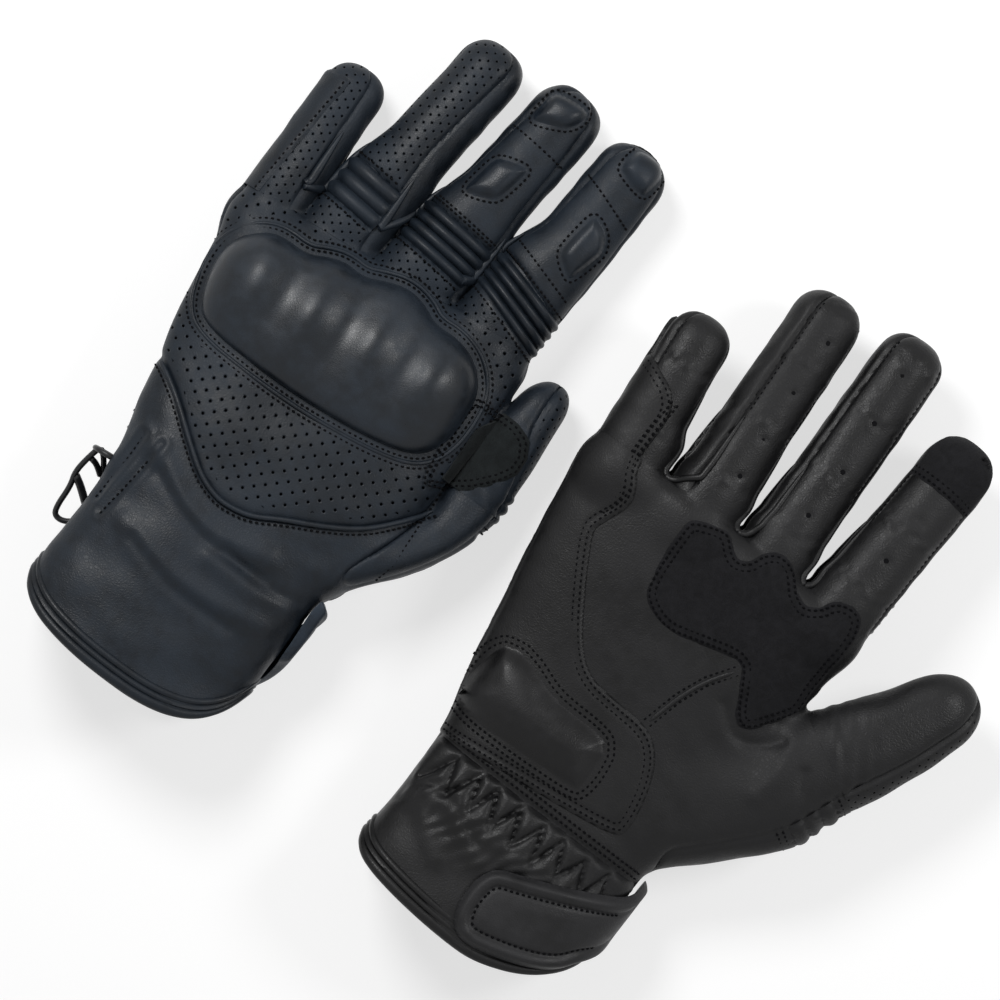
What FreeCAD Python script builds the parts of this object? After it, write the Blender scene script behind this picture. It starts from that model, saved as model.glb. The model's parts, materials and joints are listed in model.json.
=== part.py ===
"""Pair of short-cuff riding gloves: left glove palm down, right glove palm up.

Each glove is drawn in its own frame, in millimetres: +X towards the thumb, +Y towards
the fingertips, +Z out of the back of the hand.  The right glove is then mirrored in Z,
which turns it palm up, and both gloves are laid side by side.
"""
import FreeCAD, Part
import math
import os
import Sketcher

Vector = FreeCAD.Vector
Rule = Sketcher.Constraint

GLOVES = ("Left", "Right")
FINGERS = ("Index", "Middle", "Ring", "Pinky")
STATIONS = ("Hem", "Cuff", "Wrist", "Heel", "Knuckle", "Front")
THUMB_STATIONS = ("Base", "Pad", "Nail", "Tip", "End")
STUB_STATIONS = ("Inside", "Web", "Ball", "Base")
REACH = 200.0
DOMES = 4
RIBS = 4

# ------------------------------------------------------------------ driving sizes
SHARED_SIZES = {
    "Skin": {"WallThick": 1.8, "FrontWall": 2.4, "BodyGap": 0.3},
    "Overlays": {"OverlayThick": 1.2, "HeelPadThick": 6.0, "BindingThick": 1.4,
                 "BindingWide": 7.0, "BindingLip": 1.5, "TouchThick": 0.8, "PadThick": 2.2},
    "Strap": {"TapeThick": 0.8, "StrapThick": 2.6, "StrapWide": 28.0, "StrapLong": 62.0,
              "StrapSlant": 20.0, "StrapInset": 5.5, "StrapDish": 0.9,
              "HookWide": 19.0, "HookLong": 24.0, "LoopWide": 22.0, "LoopLong": 34.0},
    "Guard": {"GuardFlange": 2.0, "DomeHigh": 12.5, "DomeHalfLong": 21.0, "DomeHalfWide": 16.5,
              "LobeHalfLong": 22.5, "LobeHalfWide": 17.0, "GuardDeep": 25.0,
              "GuardShoulder": 20.0, "GuardTaper": 8.0, "DomePitch": 23.3},
    "Fingers": {"FingerTail": 9.0, "TipRound": 8.0, "FingerSeam": 3.0, "FlexFrom": 11.5, "FlexLong": 16.5,
                "FlexHalfWide": 9.8, "RibRound": 1.6, "TouchLong": 21.0,
                "PatchHalfDrop": 7.0, "PatchLong": 46.0},
    "Clip": {"ClipLong": 29.0, "ClipWide": 8.2, "ClipWire": 2.2, "ClipPlay": 0.8,
             "LoopRound": 5.2, "LoopThick": 1.0, "LoopOut": 2.2, "LoopBack": 6.0},
}

HAND_SIZES = {
    # station: along, middle across, wide, middle height, thick
    "Left": {
        "Hem": (-121.0, -2.5, 85.0, 26.7, 44.0),
        "Cuff": (-95.0, -2.0, 84.0, 26.3, 42.5),
        "Wrist": (-62.0, 1.0, 83.0, 26.5, 38.0),
        "Heel": (-22.0, 6.5, 102.0, 25.0, 35.0),
        "Knuckle": (18.0, 8.5, 115.0, 20.5, 32.0),
        "Front": (47.2, 7.2, 116.5, 14.3, 26.6),
    },
    "Right": {
        "Hem": (-131.0, -6.5, 85.0, 26.5, 44.0),
        "Cuff": (-105.0, -5.0, 85.0, 26.5, 42.5),
        "Wrist": (-72.0, -6.5, 86.0, 27.0, 38.0),
        "Heel": (-32.0, -9.0, 99.0, 25.5, 35.0),
        "Knuckle": (8.0, -10.5, 111.0, 21.5, 32.0),
        "Front": (37.2, -11.2, 115.5, 18.0, 27.0),
    },
}

FINGER_SIZES = {
    # finger: across, rise, splay, lift, long, root radius, tip radius
    "Left": {
        "Index": (51.0, 15.0, 8.0, -1.2, 82.5, 13.4, 12.6),
        "Middle": (16.5, 14.0, 11.0, -1.2, 89.0, 13.5, 12.4),
        "Ring": (-14.5, 14.0, 11.0, -1.2, 89.0, 12.5, 11.8),
        "Pinky": (-39.5, 14.0, 4.0, -2.0, 56.6, 11.3, 10.6),
    },
    "Right": {
        "Index": (34.0, 18.0, 2.5, 6.0, 75.5, 13.0, 12.2),
        "Middle": (4.5, 18.0, -2.2, 6.0, 93.5, 12.3, 11.9),
        "Ring": (-25.4, 18.0, -3.6, 6.0, 88.0, 13.2, 12.2),
        "Pinky": (-56.0, 18.0, -6.5, 5.0, 55.0, 12.0, 11.0),
    },
}

THUMB_SIZES = {
    # station: along the thumb, shift across, middle height, wide, tall
    "Left": {
        "Base": (0.0, 0.0, 15.6, 17.2, 30.0),
        "Pad": (24.0, 0.0, 14.8, 17.0, 28.0),
        "Nail": (38.0, 0.0, 13.8, 16.4, 25.0),
        "Tip": (46.5, -0.3, 13.2, 11.4, 18.0),
        "End": (50.0, -0.5, 13.0, 4.0, 7.0),
    },
    "Right": {
        "Base": (0.0, 0.0, 23.0, 37.0, 28.0),
        "Pad": (24.0, 1.0, 23.5, 32.0, 25.0),
        "Nail": (43.0, 0.5, 24.5, 26.0, 21.5),
        "Tip": (52.0, 0.0, 25.0, 19.0, 15.0),
        "End": (56.5, 0.0, 25.0, 9.0, 6.0),
    },
}

STUB_SIZES = {
    # station behind the thumb's root: along, shift across, middle height, wide, tall
    "Left": {
        "Inside": (-50.0, -29.0, 23.0, 20.0, 29.0),
        "Web": (-33.0, -14.5, 20.0, 19.0, 30.5),
        "Ball": (-16.7, -4.7, 17.0, 18.0, 31.0),
    },
    "Right": {
        "Inside": (-68.0, -8.0, 26.0, 32.0, 26.0),
        "Web": (-45.0, -3.0, 24.5, 38.0, 28.0),
        "Ball": (-22.0, 0.6, 23.5, 41.0, 29.0),
    },
}

PAD_SIZES = {
    # pad: across, along, wide, long in the finger's frame; High is set from the fingertip
    "Middle": {"Low": (-3.0, 46.8, 12.0, 20.0), "High": (-1.6, 11.0, 12.5, 14.5)},
    "Index": {"Low": (3.0, 42.0, 11.5, 22.5), "High": (1.6, 9.5, 12.0, 14.0)},
}

PLACES = {
    # places that differ from glove to glove
    "Left": {"ThumbAcross": 74.2, "ThumbAlong": -6.0, "ThumbAim": 5.0,
             "SeamHem": 27.0, "SeamFront": 15.0, "ThumbSeam": 17.0,
             "GuardAcross": 5.0, "GuardAlong": 20.0, "VeeAcross": 1.0, "VeeAlong": -49.5,
             "PalmAcross": 18.5, "PalmAlong": 10.0, "PalmCuff": -74.0,
             "StrapAcross": 3.5, "StrapAlong": -103.5, "StrapRise": 26.0,
             "LieAcross": -80.3, "LieAlong": -4.9, "LieTurn": 3.3},
    "Right": {"ThumbAcross": 62.6, "ThumbAlong": -5.2, "ThumbAim": 27.7,
              "SeamHem": 27.0, "SeamFront": 19.0, "ThumbSeam": 26.0,
              "GuardAcross": -11.0, "GuardAlong": 10.0, "VeeAcross": -9.0, "VeeAlong": -59.5,
              "PalmAcross": 0.0, "PalmAlong": 0.0, "PalmCuff": -84.0,
              "StrapAcross": 0.0, "StrapAlong": -113.5, "StrapRise": 26.0,
              "LieAcross": 81.4, "LieAlong": -2.7, "LieTurn": -3.3},
}

HAND_FIELDS = ("Along", "Across", "Wide", "Rise", "Thick")
FINGER_FIELDS = ("Across", "Rise", "Splay", "Lift", "Long", "RootRadius", "TipRadius")
THUMB_FIELDS = ("Along", "Across", "Rise", "Wide", "Tall")
PAD_FIELDS = ("Across", "Along", "Wide", "Long")


def sheet_rows():
    """Every driving size as (heading, alias, value)."""
    for heading, cells in SHARED_SIZES.items():
        for alias, value in cells.items():
            yield heading, alias, value
    tables = ((HAND_SIZES, HAND_FIELDS, ""), (FINGER_SIZES, FINGER_FIELDS, ""),
              (THUMB_SIZES, THUMB_FIELDS, "Thumb"), (STUB_SIZES, THUMB_FIELDS, "Stub"))
    for table, fields, prefix in tables:
        for glove in GLOVES:
            for name, values in table[glove].items():
                for field, value in zip(fields, values):
                    yield glove + " glove", glove + prefix + name + field, value
    for finger, pads in PAD_SIZES.items():
        for name, values in pads.items():
            for field, value in zip(PAD_FIELDS, values):
                yield "Armour pads", finger + "Pad" + name + field, value
    for glove in GLOVES:
        for name, value in PLACES[glove].items():
            yield glove + " glove", glove + name, value


def fill_sheet(doc):
    """Put the driving sizes into the document's sheet, each with its alias."""
    sheet = doc.addObject("Spreadsheet::Sheet", "Sizes")
    for row, (heading, alias, value) in enumerate(sheet_rows(), 1):
        sheet.set("A%d" % row, heading + ": " + alias)
        sheet.set("B%d" % row, str(value))
        sheet.setAlias("B%d" % row, alias)
    doc.recompute()
    return sheet


def size(*words):
    """Expression text of one driving size, its alias built from the words."""
    return "Sizes." + "".join(words)


def bind(thing, **bindings):
    """Bind properties of an object to expressions."""
    for name, text in bindings.items():
        thing.setExpression(name, text)
    return thing


# ------------------------------------------------------------------ sketch helpers
def plane(body, role):
    """One of a body's own origin planes."""
    return next(item for item in body.Origin.OriginFeatures if item.Role == role)


def new_sketch(body, name, role):
    """A sketch on one of the body's origin planes."""
    sketch = body.newObject("Sketcher::SketchObject", name)
    sketch.AttachmentSupport = (plane(body, role), [""])
    sketch.MapMode = "FlatFace"
    return sketch


def drive(sketch, kind, where, text, start=1.0):
    """Add one dimension to a sketch and bind it to an expression."""
    index = sketch.addConstraint(Rule(kind, *where, start))
    sketch.setExpression("Constraints[%d]" % index, text)


def slot_section(body, name, along, across, rise, longer, shorter, grow, upright):
    """A slot-shaped section across the Y axis, grown outwards all round by grow."""
    sketch = new_sketch(body, name, "XZ_Plane")
    sketch.setExpression("AttachmentOffset.Base.x", across)
    sketch.setExpression("AttachmentOffset.Base.y", rise)
    sketch.setExpression("AttachmentOffset.Base.z", "-(" + along + ")")
    turn = math.pi / 2 if upright else 0.0
    axis = Vector(math.cos(turn), math.sin(turn), 0)
    side = Vector(-math.sin(turn), math.cos(turn), 0)
    half, reach = 10.0, 20.0
    normal = Vector(0, 0, 1)

    def cap(sign):
        angle = turn + (0 if sign > 0 else math.pi)
        circle = Part.Circle(axis * (sign * reach), normal, half)
        return Part.ArcOfCircle(circle, angle - math.pi / 2, angle + math.pi / 2)

    upper = sketch.addGeometry(Part.LineSegment(side * half - axis * reach,
                                                side * half + axis * reach))
    ahead = sketch.addGeometry(cap(1))
    lower = sketch.addGeometry(Part.LineSegment(axis * -reach - side * half,
                                                axis * reach - side * half))
    behind = sketch.addGeometry(cap(-1))
    sketch.addConstraint([
        Rule("Tangent", upper, 2, ahead, 2),
        Rule("Tangent", lower, 2, ahead, 1),
        Rule("Tangent", upper, 1, behind, 1),
        Rule("Tangent", lower, 1, behind, 2),
        Rule("Equal", ahead, behind),
        Rule("Symmetric", ahead, 3, behind, 3, -1, 1),
        Rule("PointOnObject", ahead, 3, -2 if upright else -1),
    ])
    drive(sketch, "Radius", (ahead,), "(" + shorter + ") / 2 + " + grow, half)
    spread = "DistanceY" if upright else "DistanceX"
    drive(sketch, spread, (behind, 3, ahead, 3), longer + " - " + shorter, 2 * reach)
    return sketch


def loft_body(doc, name, sections):
    """A body lofted through sections given by section(body, number)."""
    body = doc.addObject("PartDesign::Body", name)
    sketches = [make(body) for make in sections]
    loft = body.newObject("PartDesign::AdditiveLoft", name + "Loft")
    loft.Profile = sketches[0]
    loft.Sections = sketches[1:]
    body.Tip = loft
    return body


def polygon(sketch, corners):
    """A closed outline through corners given as pairs of expressions."""
    count = len(corners)
    spots = [Vector(10 * math.cos(2 * math.pi * n / count),
                    10 * math.sin(2 * math.pi * n / count), 0) for n in range(count)]
    sides = [sketch.addGeometry(Part.LineSegment(spots[n], spots[(n + 1) % count]))
             for n in range(count)]
    for n in range(count):
        sketch.addConstraint(Rule("Coincident", sides[n], 2, sides[(n + 1) % count], 1))
    for side, (across, along) in zip(sides, corners):
        drive(sketch, "DistanceX", (-1, 1, side, 1), across)
        drive(sketch, "DistanceY", (-1, 1, side, 1), along)


def prism(doc, name, corners):
    """A tall prism over a closed outline, from REACH below to REACH above."""
    body = doc.addObject("PartDesign::Body", name)
    sketch = new_sketch(body, name + "Outline", "XY_Plane")
    polygon(sketch, corners)
    pad = body.newObject("PartDesign::Pad", name + "Pad")
    pad.Profile = sketch
    pad.Midplane = True
    pad.Length = 2 * REACH
    body.Tip = pad
    return body


def block(doc, name, lengths, where):
    """A plain box used as a cutting tool."""
    box = doc.addObject("Part::Box", name)
    bind(box, Length=lengths[0], Width=lengths[1], Height=lengths[2], Placement=where)
    return box


def cut(doc, name, base, tool):
    """The first object without the second."""
    result = doc.addObject("Part::Cut", name)
    result.Base = base
    result.Tool = tool
    return result


def common(doc, name, base, tool):
    """What two objects share."""
    result = doc.addObject("Part::Common", name)
    result.Base = base
    result.Tool = tool
    return result


def fuse(doc, name, shapes):
    """Several objects as one."""
    result = doc.addObject("Part::MultiFuse", name)
    result.Shapes = shapes
    return result


def spot(across, along, rise, yaw="0", roll="0"):
    """Expression text of a placement."""
    return "placement(vector(%s; %s; %s); rotation(%s; 0; %s))" % (across, along, rise, yaw, roll)


# ------------------------------------------------------------------ forms of the hand
def hand_form(doc, glove, name, grow):
    """The closed form of cuff and hand, grown outwards by grow."""
    def station(word):
        def make(body):
            return slot_section(body, name + word, size(glove, word, "Along"),
                                size(glove, word, "Across"), size(glove, word, "Rise"),
                                size(glove, word, "Wide"), size(glove, word, "Thick"),
                                grow, False)
        return make
    return loft_body(doc, name, [station(word) for word in STATIONS])


def thumb_spot(glove):
    """Placement of the thumb's root plane; the thumb runs along its +Y."""
    return spot(size(glove, "ThumbAcross"), size(glove, "ThumbAlong"), "0",
                "-" + size(glove, "ThumbAim"))


def thumb_loft(doc, glove, name, kind, stations, grow, start=None):
    """The thumb, or the stub behind it, as a loft of slots in the thumb's frame."""
    upright = glove == "Left"

    def station(word, first):
        table = "Thumb" if kind == "Thumb" or word == "Base" else "Stub"
        prefix = glove + table + word
        long_word, short_word = ("Tall", "Wide") if upright else ("Wide", "Tall")

        def make(body):
            along = start if start and first else size(prefix, "Along")
            return slot_section(body, name + word, along, size(prefix, "Across"),
                                size(prefix, "Rise"), size(prefix, long_word),
                                size(prefix, short_word), grow, upright)
        return make
    body = loft_body(doc, name, [station(word, n == 0) for n, word in enumerate(stations)])
    body.setExpression("Placement", thumb_spot(glove))
    return body


def palm_space(doc, glove):
    """Everything on the palm side of the glove's side seam."""
    fall = "atan((%s - %s) / (%s - %s))" % (size(glove, "SeamFront"), size(glove, "SeamHem"),
                                          size(glove, "FrontAlong"), size(glove, "HemAlong"))
    where = spot("0", size(glove, "HemAlong"), size(glove, "SeamHem"), "0", fall)
    drop = spot(str(-REACH), str(-REACH / 2), str(-REACH))
    return block(doc, glove + "PalmSpace", (str(2 * REACH), str(2 * REACH), str(REACH)),
                 where + " * " + drop)


def finger_spot(glove, finger):
    """Placement of a finger's root; the finger runs along its +Y."""
    return spot(size(glove, finger, "Across"), size(glove, "FrontAlong") + " + Sizes.BodyGap",
                size(glove, finger, "Rise"), "-" + size(glove, finger, "Splay"),
                size(glove, finger, "Lift"))


def hand_shell(doc, glove):
    """The hand's skin, open at the hem, with a bore for each finger and the thumb."""
    outer_hand = hand_form(doc, glove, glove + "HandOuter", "0")
    outer_stub = thumb_loft(doc, glove, glove + "StubOuter", "Stub", STUB_STATIONS, "0")
    outer = fuse(doc, glove + "Outer", [outer_hand, outer_stub])
    inner_hand = hand_form(doc, glove, glove + "HandInner", "-Sizes.WallThick")
    inner_stub = thumb_loft(doc, glove, glove + "StubInner", "Stub", STUB_STATIONS,
                            "-Sizes.WallThick")
    slab = block(doc, glove + "FrontSlab", (str(2 * REACH), str(REACH), str(2 * REACH)),
                 spot(str(-REACH), size(glove, "FrontAlong") + " - Sizes.FrontWall",
                      str(-REACH)))
    inner = cut(doc, glove + "HandHollow", inner_hand, slab)
    bores = []
    for finger in FINGERS:
        bore = doc.addObject("Part::Cylinder", glove + finger + "Bore")
        bind(bore, Radius=size(glove, finger, "RootRadius") + " - Sizes.WallThick",
             Height="2 * Sizes.FingerTail",
             Placement=finger_spot(glove, finger) + " * "
             + spot("0", "-Sizes.FingerTail", "0", "0", "-90"))
        bores.append(bore)
    hollow = fuse(doc, glove + "Hollow", [inner, inner_stub] + bores)
    return outer, cut(doc, glove + "Shell", outer, hollow)


def vee_outline(glove):
    """Back of the hand above its V-shaped lower seam, as an outline."""
    across = size(glove, "VeeAcross")
    along = size(glove, "VeeAlong")
    steps = ((-80, 46), (-46, 31.5), (-21, 11.5), (-6, 1.5), (2, 0), (19, 5.5),
             (44, 16.5), (61, 34.5), (63, 45.2), (110, 45.2))
    corners = [("%s + %s" % (across, x), "%s + %s" % (along, y)) for x, y in steps]
    return corners + [(str(REACH), str(REACH)), (str(-REACH), str(REACH))]


def hand_panels(doc, glove, shell, palm_side):
    """Back and palm panels of the hand and of the cuff."""
    back = cut(doc, glove + "BackSkin", shell, palm_side)
    palm = common(doc, glove + "PalmSkin", shell, palm_side)
    vee = prism(doc, glove + "Vee", vee_outline(glove))
    over_palm = block(doc, glove + "PalmBlock", (str(2 * REACH), str(REACH), str(2 * REACH)),
                      spot(str(-REACH), size(glove, "PalmCuff"), str(-REACH)))
    return {
        "back_panel": common(doc, glove + "BackPanel", back, vee),
        "cuff_back": cut(doc, glove + "CuffBack", back, vee),
        "palm_panel": common(doc, glove + "PalmPanel", palm, over_palm),
        "cuff_palm": cut(doc, glove + "CuffPalm", palm, over_palm),
    }


def layer(doc, glove, name, outside, inside, outline, palm_side=None):
    """A layer that lies on the hand between two grown forms, inside an outline."""
    patch = common(doc, name + "Patch", outside, outline)
    if palm_side:
        patch = common(doc, name + "PalmPatch", patch, palm_side)
    return cut(doc, name, patch, inside)


def palm_outline(glove, steps):
    """An outline on the palm, placed by the glove's own palm shift."""
    across = size(glove, "PalmAcross")
    along = size(glove, "PalmAlong")
    return [("%s + %s" % (across, x), "%s + %s" % (along, y)) for x, y in steps]


def palm_overlays(doc, glove, outer, palm_side):
    """Suede patch under the fingers, heel overlay and the padded slider on it."""
    cover = hand_form(doc, glove, glove + "Cover", "Sizes.OverlayThick")
    padded = hand_form(doc, glove, glove + "Padded", "Sizes.OverlayThick + Sizes.HeelPadThick")
    patch = prism(doc, glove + "PalmPatchArea", palm_outline(glove, (
        (-25, 8), (-20, 0), (0, 1), (17, 4), (22, -3), (33, -14), (40, -4), (44, 6),
        (43.5, 34), (30, 36.5), (21, 31), (15, 36), (2, 36), (-5, 31), (-11, 36), (-26, 33))))
    heel = prism(doc, glove + "HeelArea", palm_outline(glove, (
        (-75, -74), (-50, -78), (20, -70), (22, -60), (17, -45), (8, -33), (-20, -31),
        (-40, -8), (-48, 12), (-45, 36), (-75, 36))))
    pad = prism(doc, glove + "HeelPadArea", palm_outline(glove, (
        (-48, -66), (-1, -64), (1, -62), (1, -52), (-3, -45), (-25, -45), (-38, -39),
        (-50, -39), (-52, -42), (-51, -63))))
    return {
        "palm_patch": layer(doc, glove, glove + "PalmPatch", cover, outer, patch, palm_side),
        "heel_overlay": layer(doc, glove, glove + "HeelOverlay", cover, outer, heel, palm_side),
        "heel_pad": layer(doc, glove, glove + "HeelPad", padded, cover, pad, palm_side),
    }


def cuff_binding(doc, glove, outer, shell):
    """Turned binding round the hem: outside, over the edge and level with the inside."""
    grown = hand_form(doc, glove, glove + "Bound", "Sizes.BindingThick")
    band = block(doc, glove + "BindingBand", (str(2 * REACH), "Sizes.BindingWide",
                                              str(2 * REACH)),
                 spot(str(-REACH), size(glove, "HemAlong"), str(-REACH)))
    sleeve = cut(doc, glove + "BindingSleeve", common(doc, glove + "BindingRing", grown, band),
                 outer)

    def plug(name, grow):
        body = doc.addObject("PartDesign::Body", name)
        sketch = slot_section(body, name + "Edge", size(glove, "HemAlong"),
                              size(glove, "HemAcross"), size(glove, "HemRise"),
                              size(glove, "HemWide"), size(glove, "HemThick"), grow, False)
        pad = body.newObject("PartDesign::Pad", name + "Pad")
        pad.Profile = sketch
        pad.setExpression("Length", "Sizes.BindingLip")
        body.Tip = pad
        return body
    lip = cut(doc, glove + "BindingLip", plug(glove + "LipOuter", "Sizes.BindingThick"),
              plug(glove + "LipInner", "-Sizes.WallThick"))
    return {"cuff_binding": fuse(doc, glove + "CuffBinding", [sleeve, lip])}


def slanted(doc, glove, name, long_cell, wide_cell, inset, round_end):
    """A strip lying along the strap, measured from the strap's free end."""
    body = doc.addObject("PartDesign::Body", name)
    sketch = new_sketch(body, name + "Outline", "XY_Plane")
    if round_end:
        half, reach = 10.0, 40.0
        normal = Vector(0, 0, 1)
        upper = sketch.addGeometry(Part.LineSegment(Vector(0, half, 0), Vector(reach, half, 0)))
        far = sketch.addGeometry(Part.LineSegment(Vector(reach, half, 0),
                                                  Vector(reach, -half, 0)))
        lower = sketch.addGeometry(Part.LineSegment(Vector(reach, -half, 0),
                                                    Vector(0, -half, 0)))
        near = sketch.addGeometry(Part.ArcOfCircle(Part.Circle(Vector(), normal, half),
                                                   math.pi / 2, 3 * math.pi / 2))
        sketch.addConstraint([
            Rule("Coincident", upper, 2, far, 1),
            Rule("Coincident", far, 2, lower, 1),
            Rule("Tangent", lower, 2, near, 2),
            Rule("Tangent", near, 1, upper, 1),
            Rule("Horizontal", upper),
            Rule("Vertical", far),
            Rule("Horizontal", lower),
            Rule("Coincident", near, 3, -1, 1),
        ])
        drive(sketch, "Radius", (near,), "%s / 2 - %s" % (wide_cell, inset), half)
        drive(sketch, "DistanceX", (upper,), long_cell, reach)
    else:
        polygon(sketch, (("0", "-%s / 2" % wide_cell), (long_cell, "-%s / 2" % wide_cell),
                         (long_cell, "%s / 2" % wide_cell), ("0", "%s / 2" % wide_cell)))
    pad = body.newObject("PartDesign::Pad", name + "Pad")
    pad.Profile = sketch
    pad.Midplane = True
    pad.Length = 2 * REACH
    body.Tip = pad
    body.setExpression("Placement", spot(size(glove, "StrapAcross"), size(glove, "StrapAlong"),
                                         "0", "Sizes.StrapSlant"))
    return body


def strap_pieces(doc, glove, outer):
    """Wrist strap over hook tape, over the loop tape that is sewn to the cuff."""
    tape = "Sizes.TapeThick"
    gap = "Sizes.BodyGap"
    loop_top = hand_form(doc, glove, glove + "LoopTop", tape)
    hook_low = hand_form(doc, glove, glove + "HookLow", tape + " + " + gap)
    hook_top = hand_form(doc, glove, glove + "HookTop", "2 * " + tape + " + " + gap)
    dish_top = hand_form(doc, glove, glove + "DishTop",
                         "2 * " + tape + " + " + gap + " + Sizes.StrapThick - Sizes.StrapDish")
    strap_top = hand_form(doc, glove, glove + "StrapTop",
                          "2 * " + tape + " + " + gap + " + Sizes.StrapThick")
    below = block(doc, glove + "StrapSide", (str(2 * REACH), str(2 * REACH), str(REACH)),
                  spot(str(-REACH), str(-REACH), size(glove, "StrapRise") + " - %s" % REACH))
    strip = slanted(doc, glove, glove + "StrapArea", "Sizes.StrapLong", "Sizes.StrapWide",
                    "0", True)
    dish_area = slanted(doc, glove, glove + "StrapDishArea", "Sizes.StrapLong",
                        "Sizes.StrapWide", "Sizes.StrapInset", True)
    hook_area = slanted(doc, glove, glove + "HookArea", "Sizes.HookLong", "Sizes.HookWide",
                        "0", False)
    loop_area = slanted(doc, glove, glove + "LoopArea", "Sizes.LoopLong", "Sizes.LoopWide",
                        "0", False)
    full = layer(doc, glove, glove + "StrapFull", strap_top, hook_top, strip, below)
    rim = cut(doc, glove + "DishTool", common(doc, glove + "DishCore", full, dish_area),
              dish_top)
    return {
        "loop_tape": layer(doc, glove, glove + "LoopTape", loop_top, outer, loop_area, below),
        "strap": cut(doc, glove + "Strap", full, rim),
        "hook_tape": layer(doc, glove, glove + "HookTape", hook_top, hook_low, hook_area, below),
    }


def knuckle_guard(doc, glove, outer):
    """Moulded guard: a scalloped flange with one dome over each knuckle."""
    flange_top = hand_form(doc, glove, glove + "FlangeTop", "Sizes.GuardFlange")
    across = size(glove, "GuardAcross")
    along = size(glove, "GuardAlong")
    pitch = "Sizes.DomePitch"
    reach = "(%s * %s + Sizes.LobeHalfWide)" % ((DOMES - 1) / 2, pitch)
    skirt = prism(doc, glove + "GuardSkirt", (
        (across + " - " + reach, along),
        (across + " - " + reach + " + Sizes.GuardTaper", along + " - Sizes.GuardShoulder"),
        (across, along + " - Sizes.GuardDeep"),
        (across + " + " + reach + " - Sizes.GuardTaper", along + " - Sizes.GuardShoulder"),
        (across + " + " + reach, along)))
    top = size(glove, "KnuckleRise") + " + " + size(glove, "KnuckleThick") + " / 2"
    lobes = []
    domes = []
    for number in range(DOMES):
        middle = "%s + %s * %s" % (across, number - (DOMES - 1) / 2, pitch)
        ring = doc.addObject("Part::Ellipse", "%sLobe%dRing" % (glove, number))
        bind(ring, MajorRadius="Sizes.LobeHalfLong", MinorRadius="Sizes.LobeHalfWide",
             Placement=spot(middle, along, "0", "90"))
        lobe = doc.addObject("Part::Extrusion", "%sLobe%d" % (glove, number))
        lobe.Base = ring
        lobe.Dir = Vector(0, 0, 1)
        lobe.LengthFwd = REACH
        lobe.Solid = True
        lobes.append(lobe)
        dome = doc.addObject("Part::Ellipsoid", "%sDome%d" % (glove, number))
        bind(dome, Radius1="Sizes.DomeHigh", Radius2="Sizes.DomeHalfWide",
             Radius3="Sizes.DomeHalfLong", Placement=spot(middle, along, top))
        domes.append(dome)
    outline = fuse(doc, glove + "GuardOutline", [skirt] + lobes)
    flange = common(doc, glove + "GuardFlange", flange_top, outline)
    solid = fuse(doc, glove + "GuardSolid", [flange] + domes)
    back_side = block(doc, glove + "BackSide", (str(2 * REACH), str(2 * REACH), str(REACH)),
                      spot(str(-REACH), str(-REACH), size(glove, "KnuckleRise")))
    upper = common(doc, glove + "GuardUpper", solid, back_side)
    return {"knuckle_guard": cut(doc, glove + "KnuckleGuard", upper, outer)}


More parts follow.
